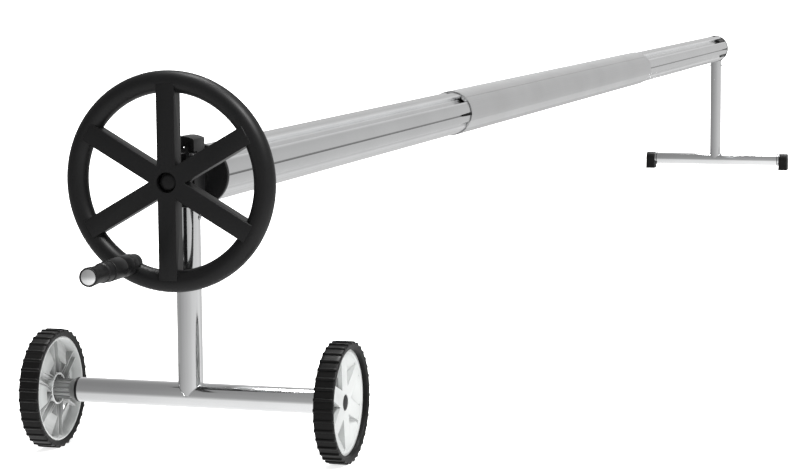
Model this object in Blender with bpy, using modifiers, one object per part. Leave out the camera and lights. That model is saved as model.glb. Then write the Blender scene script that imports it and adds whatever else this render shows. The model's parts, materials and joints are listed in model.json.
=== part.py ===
"""Pool cover reel: a telescoping reel tube between a wheeled stand and a footed stand.

Frame: metres, +Z up, +Y along the reel tube from the handwheel to the footed stand, +X to the
right for someone facing the handwheel. The origin is on the ground, under the reel axis, half way
along the object. Each moving group hangs from an empty on its joint's axis, and lengths along the
reel are measured from the wheeled stand's post.
"""

import math

import bmesh
import bpy
from mathutils import Matrix, Quaternion

# Reel and stands
AXIS_HEIGHT = 0.4592        # reel axis above the ground
POST_SPACING = 5.366        # wheeled stand's post to footed stand's post
NEAR_POST_Y = -2.571        # puts the origin half way along the object
GAP = 0.0003                # clearance between solids that touch
FIT = 0.0004                # clearance of a plug in its tube
ROUND = 24                  # sides of a turned piece
SMALL_ROUND = 12            # sides of a screw or a pin

# Wheeled stand
POST_RADIUS = 0.0208
BASE_RADIUS = 0.0206
STEEL_WALL = 0.0015
WHEEL_RADIUS = 0.100
TYRE_WIDTH = 0.0336
WHEEL_X = {"left": -0.2482, "right": 0.2614}
BASE_END_INSET = {"left": 0.0510, "right": 0.0380}  # wheel centre to the end of the base tube
BASE_PLUG_FLANGE = 0.0045
BASE_PLUG_DEPTH = 0.024
AXLE_RADIUS = 0.006
AXLE_REACH = 0.0038         # past the middle of each tyre
POST_TOP = 0.4127

# Wheels: heights are along the axle, outwards from the middle of the tyre
RIM_RADIUS = 0.0870
TREAD_RIBS = 36
TREAD_DEPTH = 0.0025
WEB_FACE = 0.0065
WEB_BACK = -0.0030
HOOP_FACE = 0.0080
HOOP_BACK = -0.0145
HUB_RECESS_FLOOR = -0.0020
HUB_RECESS_RADIUS = 0.0133
HUB_BOSS_RADIUS = 0.0155
HUB_BOSS_FLARE = 0.0130
POCKETS = 6
POCKET_ANGLE = {"left": math.radians(26), "right": math.radians(36)}
POCKET_APEX = 0.0275
POCKET_REACH = 0.0755
POCKET_HALF_ANGLE = 21.0    # in degrees, where the pocket meets its outer edge
POCKET_DEPTHS = (0.0080, 0.0005)    # at the apex and at the outer edge

# Bearing blocks and the keeper over the near one
BLOCK_HALF_WIDTH = 0.0206
BLOCK_FRONT = -0.020
BLOCK_BACK = 0.028
BLOCK_TOP = 0.038           # above the reel axis
SADDLE_RADIUS = 0.0128
BUSH_RADIUS = 0.0125
BUSH_FLANGE = 0.0160
SPIGOT_LENGTH = 0.040
KEEPER_PIN = (0.0166, 0.4985)
KNUCKLE_RADIUS = 0.0040
KNUCKLE_SPAN = (-0.006, 0.014)
KEEPER_CROWN = 0.0299       # above the keeper's pin, as are the next two
KEEPER_SHOULDER = 0.0250
KEEPER_UNDERSIDE = 0.0125
KEEPER_GAP = (-0.0168, 0.0090)
PIN_RADIUS = 0.0020

# Shafts, handwheel and crank
SHAFT_RADIUS = 0.0100
STUD_RADIUS = 0.0060
SHAFT_SHOULDER = -0.068
HANDWHEEL_RADIUS = 0.161    # rim centre line
RIM_SECTION = 0.0177
RIM_Y = -0.0716
SPOKES = 6
SPOKE_WIDTH = 0.031
SPOKE_FRONT = -0.090
SPOKE_BACK = -0.062
SPOKE_REACH = 0.158
HUB_RADIUS = 0.026
HUB_BACK = -0.038
RECESS_RADIUS = 0.0166
RECESS_FLOOR = -0.0740
CRANK = (-0.0655, -0.1327)  # crank axis from the reel axis, X and Z
LUG_RADIUS = 0.0150
LUG_BACK = -0.0700
COLLAR_RADIUS = 0.0175
COLLAR_END = -0.1805
GRIP_END = -0.2530
CAP_SEAT = -0.2470
CAP_RADIUS = 0.0127
SPINDLE_RADIUS = 0.0050
SPINDLE_HEAD = (-0.2420, -0.2450)

# Telescoping tubes
END_TUBE_RADIUS = 0.0482
MIDDLE_RADIUS = 0.0507
TUBE_WALL = 0.0020
SLIDE_CLEARANCE = 0.0006
NEAR_TUBE = (0.0588, 2.050)
MIDDLE_TUBE = (1.600, 3.770)
FAR_TUBE = (3.320, 5.335)
PLUG_DEPTH = 0.060
NEAR_FLANGE = (0.0500, 0.0583, 0.0515)    # start, end and radius
FAR_FLANGE = (5.3354, 5.3405, 0.0493)
PLUG_SCREW_ANGLES = (160.0, 238.0)
CLAMP_SCREW_ANGLES = (168.0, 246.0)
CLAMP_SCREW_INSET = 0.040
SLOT_KEY_LENGTH = 0.075     # the wedge over the slot at the middle tube's mouth
SLOT_KEY_HALF_WIDTHS = (0.0020, 0.0033)
SLOT_KEY_TOP = 0.0500

# Grooves of the end tubes: centre and half width in degrees, depth, and the section's points
# as fractions of the half width and of the depth.
DEEP = (
    (-1.0, 0.0), (-0.78, 0.75), (-0.45, 0.97), (0.0, 1.0), (0.45, 0.97), (0.78, 0.75), (1.0, 0.0),
)
SHALLOW = ((-1.0, 0.0), (-0.6, 0.64), (0.0, 1.0), (0.6, 0.64), (1.0, 0.0))
GROOVES = (
    (46.0, 11.8, 0.0122, DEEP),
    (90.0, 10.0, 0.0040, SHALLOW),
    (210.0, 9.5, 0.0040, SHALLOW),
    (329.0, 9.5, 0.0040, SHALLOW),
)
SLOT_HALF = 0.0011
SLOT_DEPTH = 0.0012
ARC_STEP = 7.5
MIDDLE_FLAT = (318.0, 341.0)
WITNESS_LINE = (46.0, 0.8, 0.0006)        # centre and half width in degrees, and depth

# Footed stand
FAR_POST_RADIUS = 0.0202
FAR_BASE_RADIUS = 0.0210
FAR_BASE_HEIGHT = 0.037
FOOT_OUTER_X = {"left": -0.2630, "right": 0.2755}
FOOT_WIDTH = 0.0320
FOOT_RADIUS = 0.0235
FOOT_PAD_HALF = 0.0240
FOOT_END_WALL = 0.0034
STOP_RING_RADIUS = 0.0226
STOP_RING_GAP = 0.0060      # from the foot's mouth to the middle of the ring
FAR_BLOCK_HALF_DEPTH = 0.0195
FAR_BLOCK_CROWN = 0.0150    # centre of the block's round top, above the reel axis

ALONG = {
    "X": (0.0, math.radians(90), 0.0),
    "Y": (math.radians(-90), 0.0, 0.0),
    "Z": (0.0, 0.0, 0.0),
    "outline XZ": (math.radians(90), 0.0, 0.0),
    "outline YZ": (math.radians(90), 0.0, math.radians(90)),
}

LOOKS = {
    "stainless": ((0.62, 0.63, 0.64), 0.14, 1.0),
    "aluminium": ((0.66, 0.67, 0.68), 0.30, 1.0),
    "black_plastic": ((0.016, 0.016, 0.017), 0.42, 0.0),
    "rubber": ((0.018, 0.017, 0.016), 0.80, 0.0),
    "grey_plastic": ((0.62, 0.64, 0.63), 0.38, 0.0),
    "nylon": ((0.70, 0.69, 0.66), 0.50, 0.0),
    "steel": ((0.48, 0.49, 0.50), 0.28, 1.0),
    "chrome": ((0.80, 0.81, 0.82), 0.07, 1.0),
}


# ---------------------------------------------------------------- helpers

def clear_scene():
    for obj in list(bpy.data.objects):
        bpy.data.objects.remove(obj)


def collection(name):
    group = bpy.data.collections.new(name)
    bpy.context.scene.collection.children.link(group)
    return group


def look(slot, node):
    """One Principled material for one piece."""
    colour, roughness, metallic = LOOKS[slot]
    material = bpy.data.materials.new(f"{node}_{slot}")
    material.use_nodes = True
    shader = material.node_tree.nodes["Principled BSDF"]
    shader.inputs["Base Color"].default_value = (*colour, 1.0)
    shader.inputs["Roughness"].default_value = roughness
    shader.inputs["Metallic"].default_value = metallic
    return material


def frame(name, at, parent=None):
    """An empty on a joint's axis, at a place in its parent's frame."""
    empty = bpy.data.objects.new(name, None)
    empty.empty_display_size = 0.05
    empty.location = at
    empty.parent = parent
    guides.objects.link(empty)
    return empty


def piece(shape, slot, parent, along="Z", at=(0.0, 0.0, 0.0), turn=0.0):
    """Puts a shape in the model as a sub-part, with its own material."""
    place(shape, parent, along, at, turn)
    shape.data.materials.append(look(slot, shape.name))
    shape.data.shade_smooth()
    shape.data.set_sharp_from_angle(angle=math.radians(35))
    model.objects.link(shape)
    return shape


def place(shape, parent, along="Z", at=(0.0, 0.0, 0.0), turn=0.0):
    shape.parent = parent
    shape.rotation_euler = ALONG[along]
    if turn:
        shape.rotation_mode = "QUATERNION"
        spin = shape.rotation_euler.to_quaternion()
        shape.rotation_quaternion = about_y(turn) @ spin
    shape.location = at
    return shape


def about_y(angle):
    """Turns +X towards +Z, the way angles round the reel are counted."""
    return Quaternion((0.0, 1.0, 0.0), -angle)


def tool(shape, parent, along="Z", at=(0.0, 0.0, 0.0), turn=0.0):
    """Puts a shape aside as a cutter or as something to fuse on."""
    place(shape, parent, along, at, turn)
    shape.hide_render = True
    shape.display_type = "WIRE"
    guides.objects.link(shape)
    return shape


def combine(shape, other, operation):
    step = shape.modifiers.new(f"{operation.lower()}_{other.name}"[:60], "BOOLEAN")
    step.operation = operation
    step.solver = "EXACT"
    step.object = other
    return shape


def cut(shape, cutter):
    return combine(shape, cutter, "DIFFERENCE")


def fuse(shape, other):
    return combine(shape, other, "UNION")


def object_from(name, bm):
    mesh = bpy.data.meshes.new(name)
    bm.to_mesh(mesh)
    bm.free()
    return bpy.data.objects.new(name, mesh)


def turned(name, outline, steps=ROUND, closed=False):
    """A turned shape: (radius, height) points down the outer side, with a Screw modifier."""
    bm = bmesh.new()
    points = [bm.verts.new((radius, 0.0, height)) for radius, height in outline]
    links = list(zip(points, points[1:]))
    if closed:
        links.append((points[-1], points[0]))
    for start, end in links:
        bm.edges.new((start, end))
    shape = object_from(name, bm)
    screw = shape.modifiers.new("turn", "SCREW")
    screw.steps = steps
    screw.render_steps = steps
    screw.use_merge_vertices = True
    screw.merge_threshold = 0.00005
    return shape


def sleeve(name, outer, inner, low, high, steps=ROUND):
    ring = [(outer, high), (outer, low), (inner, low), (inner, high)]
    return turned(name, ring, steps, closed=True)


def rod(name, radius, low, high, steps=ROUND):
    """A solid round bar along its local Z, from low to high."""
    bm = bmesh.new()
    bmesh.ops.create_cone(
        bm, cap_ends=True, segments=steps, radius1=radius, radius2=radius, depth=high - low
    )
    bmesh.ops.translate(bm, verts=bm.verts, vec=(0.0, 0.0, (low + high) / 2))
    return object_from(name, bm)


def block(name, low, high):
    bm = bmesh.new()
    bmesh.ops.create_cube(bm, size=1.0)
    size = [b - a for a, b in zip(low, high)]
    middle = [(a + b) / 2 for a, b in zip(low, high)]
    bmesh.ops.scale(bm, verts=bm.verts, vec=size)
    bmesh.ops.translate(bm, verts=bm.verts, vec=middle)
    return object_from(name, bm)


def prism(name, outlines, depth):
    """Flat outlines, holes included, extruded either way along local Z and made a closed mesh."""
    curve = bpy.data.curves.new(name, "CURVE")
    curve.dimensions = "2D"
    curve.fill_mode = "BOTH"
    curve.extrude = depth / 2
    for outline in outlines:
        spline = curve.splines.new("POLY")
        spline.points.add(len(outline) - 1)
        for point, (x, y) in zip(spline.points, outline):
            point.co = (x, y, 0.0, 1.0)
        spline.use_cyclic_u = True
    drawn = bpy.data.objects.new(f"{name}_outline", curve)
    bpy.context.scene.collection.objects.link(drawn)
    depsgraph = bpy.context.evaluated_depsgraph_get()
    mesh = bpy.data.meshes.new_from_object(drawn.evaluated_get(depsgraph))
    mesh.name = name
    bpy.data.objects.remove(drawn)
    bm = bmesh.new()
    bm.from_mesh(mesh)
    bmesh.ops.remove_doubles(bm, verts=bm.verts, dist=0.00001)
    bmesh.ops.recalc_face_normals(bm, faces=bm.faces)
    bm.to_mesh(mesh)
    bm.free()
    return bpy.data.objects.new(name, mesh)


def arc(centre, radius, start, end, steps):
    """Points along an arc, ends included, with angles in degrees."""
    angles = [math.radians(start + (end - start) * i / steps) for i in range(steps + 1)]
    return [
        (centre[0] + radius * math.cos(a), centre[1] + radius * math.sin(a)) for a in angles
    ]


# ---------------------------------------------------------------- wheeled stand

def tee_tubes(base_name, base_radius, ends, post_name, post_radius, post_top, parent, axis_z):
    """A base tube along X with a post coped to sit on it."""
    middle_x = sum(ends) / 2
    half = (ends[1] - ends[0]) / 2
    base = sleeve(base_name, base_radius, base_radius - STEEL_WALL, -half, half, 2 * SMALL_ROUND)
    piece(base, "stainless", parent, "X", (middle_x, 0.0, axis_z))
    bore = post_radius - STEEL_WALL
    post = sleeve(post_name, post_radius, bore, axis_z, post_top)
    piece(post, "stainless", parent)
    cope = rod(f"{post_name}_cope", base_radius + GAP, -2 * post_radius, 2 * post_radius)
    cut(post, tool(cope, parent, "X", (0.0, 0.0, axis_z)))


def wheel_side(side):
    return math.copysign(1.0, WHEEL_X[side])


def base_tube_end(side):
    return WHEEL_X[side] - wheel_side(side) * BASE_END_INSET[side]


def build_near_stand(stand):
    ends = (base_tube_end("left"), base_tube_end("right"))
    tee_tubes(
        "near_base_tube", BASE_RADIUS, ends, "near_post", POST_RADIUS, POST_TOP, stand, WHEEL_RADIUS
    )
    for side in WHEEL_X:
        build_base_plug(side, stand)
    reach = {side: WHEEL_X[side] + wheel_side(side) * AXLE_REACH for side in WHEEL_X}
    axle = rod("axle", AXLE_RADIUS, reach["left"], reach["right"])
    piece(axle, "steel", stand, "X", (0.0, 0.0, WHEEL_RADIUS))


def build_base_plug(side, stand):
    """A plastic plug in the base tube's end, bored for the axle, with the axle's nut."""
    bore = AXLE_RADIUS + GAP
    spigot = BASE_RADIUS - STEEL_WALL - FIT
    flange = BASE_PLUG_FLANGE
    outline = [
        (BASE_RADIUS, flange), (BASE_RADIUS, GAP), (spigot, GAP), (spigot, -BASE_PLUG_DEPTH),
        (bore, -BASE_PLUG_DEPTH), (bore, flange),
    ]
    turn = 0.0 if side == "right" else math.pi
    plug = turned(f"base_plug_{side}", outline, closed=True)
    piece(plug, "black_plastic", stand, "X", (base_tube_end(side), 0.0, WHEEL_RADIUS), turn)
    nut = hex_nut(f"axle_nut_{side}", 0.0080, AXLE_RADIUS + GAP, HUB_RECESS_FLOOR + 0.0005, 0.0032)
    piece(nut, "steel", stand, "X", (WHEEL_X[side], 0.0, WHEEL_RADIUS), turn)


def hex_nut(name, corner_radius, bore, low, high):
    outer = arc((0.0, 0.0), corner_radius, 0, 300, 5)
    hole = arc((0.0, 0.0), bore, 0, 330, 11)
    nut = prism(name, [outer, hole], high - low)
    for vertex in nut.data.vertices:
        vertex.co.z += (low + high) / 2
    return nut


def build_wheel(side, hub):
    turn = 0.0 if side == "right" else math.pi
    pitch = 360 / TREAD_RIBS
    root = WHEEL_RADIUS - TREAD_DEPTH
    tread = []
    for rib in range(TREAD_RIBS):
        start = rib * pitch
        tread += arc((0.0, 0.0), root, start, start + 0.40 * pitch, 1)
        tread += arc((0.0, 0.0), WHEEL_RADIUS, start + 0.50 * pitch, start + 0.90 * pitch, 1)
    seat = arc((0.0, 0.0), RIM_RADIUS + GAP, 0, 350, 35)
    tyre = prism(f"{side}_tyre", [tread, seat], TYRE_WIDTH)
    piece(tyre, "rubber", hub, "X", turn=turn)

    bore = AXLE_RADIUS + GAP
    boss_end = BASE_PLUG_FLANGE - BASE_END_INSET[side] + FIT
    outline = [
        (RIM_RADIUS, HOOP_FACE), (RIM_RADIUS, HOOP_BACK), (0.0835, HOOP_BACK), (0.0810, WEB_BACK),
        (0.0300, WEB_BACK), (HUB_BOSS_RADIUS, -0.0100),
        (HUB_BOSS_RADIUS, boss_end + HUB_BOSS_FLARE), (0.0200, boss_end), (bore, boss_end),
        (bore, HUB_RECESS_FLOOR),
        (HUB_RECESS_RADIUS, HUB_RECESS_FLOOR), (HUB_RECESS_RADIUS, WEB_FACE),
        (0.0800, WEB_FACE), (0.0815, HOOP_FACE),
    ]
    rim = turned(f"{side}_rim", outline, 36, closed=True)
    piece(rim, "grey_plastic", hub, "X", turn=turn)
    for index in range(POCKETS):
        cutter = pocket_cutter(f"{side}_pocket_{index}", POCKET_ANGLE[side], index)
        cut(rim, tool(cutter, hub, "X", (wheel_side(side) * WEB_FACE, 0.0, 0.0), turn))

    cap_radius = HUB_RECESS_RADIUS - FIT
    cap = turned(
        f"{side}_hub_cap",
        [(0.0, 0.0070), (0.0095, 0.0068), (cap_radius, 0.0058), (cap_radius, 0.0044), (0.0, 0.0044)],
    )
    piece(cap, "black_plastic", hub, "X", turn=turn)


def pocket_cutter(name, start, index):
    """A wedge between two spokes, deepest at its apex near the hub."""
    half = POCKET_HALF_ANGLE
    outline = [(POCKET_APEX, 0.0)] + arc((0.0, 0.0), POCKET_REACH, -half, half, 4)
    cutter = prism(name, [outline], 0.010)
    for vertex in cutter.data.vertices:
        if vertex.co.z < 0.0:
            out = (vertex.co.x - POCKET_APEX) / (POCKET_REACH - POCKET_APEX)
            vertex.co.z = -POCKET_DEPTHS[0] + out * (POCKET_DEPTHS[0] - POCKET_DEPTHS[1])
    cutter.data.transform(Matrix.Rotation(start + index * math.tau / POCKETS, 4, "Z"))
    return cutter


# ---------------------------------------------------------------- bearings

def build_near_bearing(stand, keeper):
    """An open saddle on the post's top, with a hinged keeper over the shaft."""
    pin_x, pin_z = KEEPER_PIN
    top = AXIS_HEIGHT + BLOCK_TOP
    bottom = POST_TOP + GAP
    outline = [(-BLOCK_HALF_WIDTH, bottom), (BLOCK_HALF_WIDTH, bottom), (BLOCK_HALF_WIDTH, pin_z)]
    outline += arc((pin_x, pin_z), KNUCKLE_RADIUS, 20, 160, 6)
    outline += [(SADDLE_RADIUS, pin_z - 0.001)]
    outline += arc((0.0, AXIS_HEIGHT), SADDLE_RADIUS, 0, -180, 16)
    outline += [(-SADDLE_RADIUS, top), (-BLOCK_HALF_WIDTH, top)]
    depth = BLOCK_BACK - BLOCK_FRONT
    middle = (BLOCK_BACK + BLOCK_FRONT) / 2
    saddle = prism("near_saddle", [outline], depth)
    piece(saddle, "black_plastic", stand, "outline XZ", (0.0, middle, 0.0))
    fuse(saddle, spigot_tool("near_saddle", POST_RADIUS, bottom, stand))
    notch = block(
        "near_saddle_notch",
        (SADDLE_RADIUS - 0.002, KNUCKLE_SPAN[0] - FIT, pin_z - KNUCKLE_RADIUS - FIT),
        (BLOCK_HALF_WIDTH + 0.002, KNUCKLE_SPAN[1] + FIT, pin_z + 2 * KNUCKLE_RADIUS),
    )
    cut(saddle, tool(notch, stand))
    pin_hole = rod("near_saddle_pin_hole", PIN_RADIUS + GAP, -0.1, 0.1, SMALL_ROUND)
    cut(saddle, tool(pin_hole, stand, "Y", (pin_x, 0.0, pin_z)))
    drill_side_screws(saddle, "near_saddle", "near_post", stand, POST_RADIUS)

    build_bush("near_bush", BLOCK_FRONT, BLOCK_BACK, stand, AXIS_HEIGHT, 0.0)
    head = 0.0036
    pin = turned(
        "keeper_pin",
        [(0.0, 0.0305), (PIN_RADIUS, 0.0305), (PIN_RADIUS, BLOCK_FRONT - GAP),
         (head, BLOCK_FRONT - GAP), (head, BLOCK_FRONT - 0.0025), (0.0, BLOCK_FRONT - 0.0030)],
        SMALL_ROUND,
    )
    piece(pin, "steel", stand, "Y", (pin_x, 0.0, pin_z))

    half = BLOCK_HALF_WIDTH
    foot = KNUCKLE_RADIUS + FIT + 0.0004
    left = -half - pin_x
    right = half - pin_x
    gap_left, gap_right = (x - pin_x for x in KEEPER_GAP)
    outline = [
        (left, foot), (gap_left, foot), (gap_left, KEEPER_UNDERSIDE), (gap_right, KEEPER_UNDERSIDE),
        (gap_right, foot), (right, foot), (right, KEEPER_SHOULDER - 0.0015),
        (right - 0.0015, KEEPER_SHOULDER), (0.4 * half - pin_x, KEEPER_CROWN - 0.0008),
        (-pin_x, KEEPER_CROWN), (-0.4 * half - pin_x, KEEPER_CROWN - 0.0008),
        (left + 0.0015, KEEPER_SHOULDER), (left, KEEPER_SHOULDER - 0.0015),
    ]
    bar = prism("keeper", [outline], depth)
    piece(bar, "black_plastic", keeper, "outline XZ", (0.0, middle, 0.0))
    knuckle_depth = KNUCKLE_SPAN[1] - KNUCKLE_SPAN[0]
    knuckle_outline = [(KNUCKLE_RADIUS, 0.0), (KNUCKLE_RADIUS, foot + 0.002)]
    knuckle_outline += [(-KNUCKLE_RADIUS, foot + 0.002)]
    knuckle_outline += arc((0.0, 0.0), KNUCKLE_RADIUS, 180, 350, 8)
    knuckle = prism("keeper_knuckle", [knuckle_outline], knuckle_depth)
    knuckle_middle = sum(KNUCKLE_SPAN) / 2
    fuse(bar, tool(knuckle, keeper, "outline XZ", (0.0, knuckle_middle, 0.0)))
    eye = rod("keeper_eye", PIN_RADIUS + GAP, -0.1, 0.1, SMALL_ROUND)
    cut(bar, tool(eye, keeper, "Y"))


def spigot_tool(name, post_radius, top, parent):
    """The round plug below a bearing block, which stands in the post's bore."""
    radius = post_radius - STEEL_WALL - FIT
    shape = rod(f"{name}_spigot", radius, top - SPIGOT_LENGTH, top + 0.004)
    return tool(shape, parent)


def drill_side_screws(holder, name, post_name, parent, post_radius):
    """Two screws through the post into the block's plug, left and right, with their holes."""
    height = POST_TOP - 0.018 + (0.0 if name.startswith("near") else -AXIS_HEIGHT)
    post = bpy.data.objects[post_name]
    for side, turn in (("left", math.pi), ("right", 0.0)):
        hole = rod(f"{name}_{side}_hole", 0.0023, 0.0100, 0.0300, SMALL_ROUND)
        tool(hole, parent, "X", (0.0, 0.0, height), turn)
        cut(holder, hole)
        cut(post, hole)
        screw = pan_screw(f"{name}_screw_{side}", 0.0020, 0.0110, post_radius + GAP, 0.0045)
        piece(screw, "steel", parent, "X", (0.0, 0.0, height), turn)


def pan_screw(name, shank, tip, seat, head):
    """A round-headed screw along local Z: its tip at one height, its head's seat at another."""
    height = 0.45 * head
    outline = [
        (0.0, seat + height), (0.6 * head, seat + 0.9 * height), (head, seat + 0.3 * height),
        (head, seat), (shank, seat), (shank, tip), (0.0, tip),
    ]
    return turned(name, outline, SMALL_ROUND)


def build_bush(name, front, back, parent, height, y):
    """A flanged nylon bush, its flanges on both faces of the bearing block."""
    bore = SHAFT_RADIUS + GAP
    lip = 0.0015
    outline = [
        (BUSH_FLANGE, back + GAP + lip), (BUSH_FLANGE, back + GAP), (BUSH_RADIUS, back + GAP),
        (BUSH_RADIUS, front - GAP), (BUSH_FLANGE, front - GAP), (BUSH_FLANGE, front - GAP - lip),
        (bore, front - GAP - lip), (bore, back + GAP + lip),
    ]
    bush = turned(name, outline, closed=True)
    piece(bush, "nylon", parent, "Y", (0.0, y, height))


# ---------------------------------------------------------------- handwheel and crank

def build_handwheel(reel):
    """The handwheel moulding, its nut, cap and drive pin, and the shaft that it turns."""
    hub = rod("handwheel", HUB_RADIUS, SPOKE_FRONT, HUB_BACK)
    piece(hub, "black_plastic", reel, "Y")
    section = arc((HANDWHEEL_RADIUS, 0.0), RIM_SECTION, 0, -330, 11)
    rim = turned("handwheel_rim", section, 60, closed=True)
    fuse(hub, tool(rim, reel, "Y", (0.0, RIM_Y, 0.0)))
    for index in range(SPOKES // 2):
        spoke = block(
            f"handwheel_spokes_{index}",
            (-SPOKE_REACH, SPOKE_FRONT, -SPOKE_WIDTH / 2),
            (SPOKE_REACH, SPOKE_BACK, SPOKE_WIDTH / 2),
        )
        turn = math.radians(30 + 60 * index)
        fuse(hub, tool(spoke, reel, "Z", turn=turn))
    crank_x, crank_z = CRANK
    lug = rod("handwheel_lug", LUG_RADIUS, SPOKE_FRONT + 0.0005, LUG_BACK)
    fuse(hub, tool(lug, reel, "Y", (crank_x, 0.0, crank_z)))

    shaft_bore = rod("handwheel_shaft_bore", SHAFT_RADIUS + GAP, SHAFT_SHOULDER - GAP, 0.0)
    stud_bore = rod("handwheel_stud_bore", STUD_RADIUS + GAP, -0.12, 0.0)
    recess = rod("handwheel_recess", RECESS_RADIUS, -0.12, RECESS_FLOOR)
    for cutter in (shaft_bore, stud_bore, recess):
        cut(hub, tool(cutter, reel, "Y"))
    spindle_bore = rod("handwheel_spindle_bore", SPINDLE_RADIUS + GAP, -0.2, 0.0, SMALL_ROUND)
    nut_pocket = rod("handwheel_nut_pocket", 0.0100, LUG_BACK - 0.0065, 0.0)
    for cutter in (spindle_bore, nut_pocket):
        cut(hub, tool(cutter, reel, "Y", (crank_x, 0.0, crank_z)))

    shaft = turned(
        "near_shaft",
        [(0.0, 0.1100), (SHAFT_RADIUS - 0.001, 0.1100), (SHAFT_RADIUS, 0.1090),
         (SHAFT_RADIUS, SHAFT_SHOULDER), (STUD_RADIUS, SHAFT_SHOULDER), (STUD_RADIUS, -0.0815),
         (0.0, -0.0815)],
    )
    piece(shaft, "steel", reel, "Y")
    cross_pin("handwheel_drive_pin", HUB_RADIUS - 0.0005, -0.050, hub, shaft, reel)

    washer = sleeve("hub_washer", 0.0095, STUD_RADIUS + GAP, -0.0758, RECESS_FLOOR - GAP)
    piece(washer, "steel", reel, "Y")
    nut = hex_nut("hub_nut", 0.0086, STUD_RADIUS + GAP, -0.0806, -0.0761)
    piece(nut, "steel", reel, "Y")
    inside = 0.0102
    cap = turned(
        "hub_cap",
        [(0.0, -0.0824), (inside, -0.0824), (inside, RECESS_FLOOR - GAP),
         (0.0120, RECESS_FLOOR - GAP), (0.0120, -0.0805), (0.0110, -0.0825), (0.0075, -0.0840),
         (0.0, -0.0845)],
    )
    piece(cap, "black_plastic", reel, "Y")
    return shaft


def cross_pin(name, half_length, y, holder, shaft, parent):
    """A pin along X through a hub and its shaft, with its hole."""
    hole = rod(f"{name}_hole", 0.0030 + GAP, -half_length - 0.0010, half_length + 0.0010, SMALL_ROUND)
    tool(hole, parent, "X", (0.0, y, 0.0))
    cut(holder, hole)
    cut(shaft, hole)
    pin = rod(name, 0.0030, -half_length, half_length, SMALL_ROUND)
    piece(pin, "steel", parent, "X", (0.0, y, 0.0))


def build_crank(reel, crank):
    """The crank's fixed collar, spindle and nut, and the grip that turns on the spindle."""
    crank_x, crank_z = CRANK
    bore = SPINDLE_RADIUS + GAP
    front = SPOKE_FRONT - GAP
    groove = -0.1065
    collar = turned(
        "crank_collar",
        [(0.0165, front), (0.0170, front - 0.0010), (0.0170, groove + 0.0015), (0.0160, groove),
         (COLLAR_RADIUS, groove - 0.0015), (COLLAR_RADIUS, COLLAR_END + 0.0015),
         (0.0165, COLLAR_END), (bore, COLLAR_END), (bore, front)],
        closed=True,
    )
    piece(collar, "black_plastic", reel, "Y", (crank_x, 0.0, crank_z))
    spindle = turned(
        "crank_spindle",
        [(0.0, LUG_BACK - 0.0005), (SPINDLE_RADIUS, LUG_BACK - 0.0005),
         (SPINDLE_RADIUS, SPINDLE_HEAD[0]), (0.0080, SPINDLE_HEAD[0]), (0.0080, SPINDLE_HEAD[1]),
         (0.0, SPINDLE_HEAD[1])],
        SMALL_ROUND,
    )
    piece(spindle, "steel", reel, "Y", (crank_x, 0.0, crank_z))
    nut = hex_nut("crank_nut", 0.0090, bore, LUG_BACK - 0.0062, LUG_BACK - 0.0010)
    piece(nut, "steel", reel, "Y", (crank_x, 0.0, crank_z))

    head_room = 0.0085
    shelf = SPINDLE_HEAD[0] + 0.0005
    start = COLLAR_END - 0.0006
    grip = turned(
        "grip",
        [(0.0158, start), (0.0165, start - 0.0010), (0.0162, -0.2010), (0.0146, -0.2035),
         (0.0143, -0.2200), (0.0150, -0.2380), (0.0156, -0.2480), (0.0154, GRIP_END + 0.0015),
         (0.0146, GRIP_END), (CAP_RADIUS + GAP, GRIP_END), (CAP_RADIUS + GAP, CAP_SEAT),
         (head_room, CAP_SEAT), (head_room, shelf), (bore + 0.0002, shelf), (bore + 0.0002, start)],
        closed=True,
    )
    piece(grip, "black_plastic", crank, "Y")
    cap = turned(
        "grip_cap",
        [(0.0, CAP_SEAT - GAP), (CAP_RADIUS, CAP_SEAT - GAP), (CAP_RADIUS, GRIP_END - 0.0002),
         (0.0100, GRIP_END - 0.0010), (0.0050, GRIP_END - 0.0014), (0.0, GRIP_END - 0.0015)],
    )
    piece(cap, "chrome", crank, "Y")


# ---------------------------------------------------------------- telescoping tubes

def plain_angles():
    """Angles of the plain arc's points, clear of the grooves."""
    angles = [i * ARC_STEP for i in range(int(360 / ARC_STEP))]
    spans = [(centre, half + 2.0) for centre, half, _, _ in GROOVES]
    return [a for a in angles if all(abs((a - c + 180) % 360 - 180) > half for c, half in spans)]


def fluted_outline(offset=0.0, slot=False):
    """The end tube's section, moved outwards by an offset, from +X towards +Z."""
    polar = [(a, END_TUBE_RADIUS) for a in plain_angles() if a > 0]
    for centre, half, depth, section in GROOVES:
        polar += [(centre + s * half, END_TUBE_RADIUS - d * depth) for s, d in section]
    polar.sort()
    if slot:
        half_angle = math.degrees(SLOT_HALF / END_TUBE_RADIUS)
        floor = END_TUBE_RADIUS - SLOT_DEPTH
        before = [(-half_angle, END_TUBE_RADIUS), (-half_angle, floor)]
        after = [(half_angle, floor), (half_angle, END_TUBE_RADIUS)]
        polar = before + after + polar
    else:
        polar.insert(0, (0.0, END_TUBE_RADIUS))
    points = [(r * math.cos(math.radians(a)), r * math.sin(math.radians(a))) for a, r in polar]
    return [moved_out(points, i, offset) for i in range(len(points))] if offset else points


def moved_out(points, index, offset):
    """A point of a closed outline, moved along the outline's outward normal."""
    x0, y0 = points[index - 1]
    x1, y1 = points[index]
    x2, y2 = points[(index + 1) % len(points)]
    normals = []
    for ax, ay, bx, by in ((x0, y0, x1, y1), (x1, y1, x2, y2)):
        length = math.hypot(bx - ax, by - ay)
        normals.append(((by - ay) / length, (ax - bx) / length))
    nx = normals[0][0] + normals[1][0]
    ny = normals[0][1] + normals[1][1]
    scale = offset / math.hypot(nx, ny)
    return (x1 + nx * scale, y1 + ny * scale)


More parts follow.
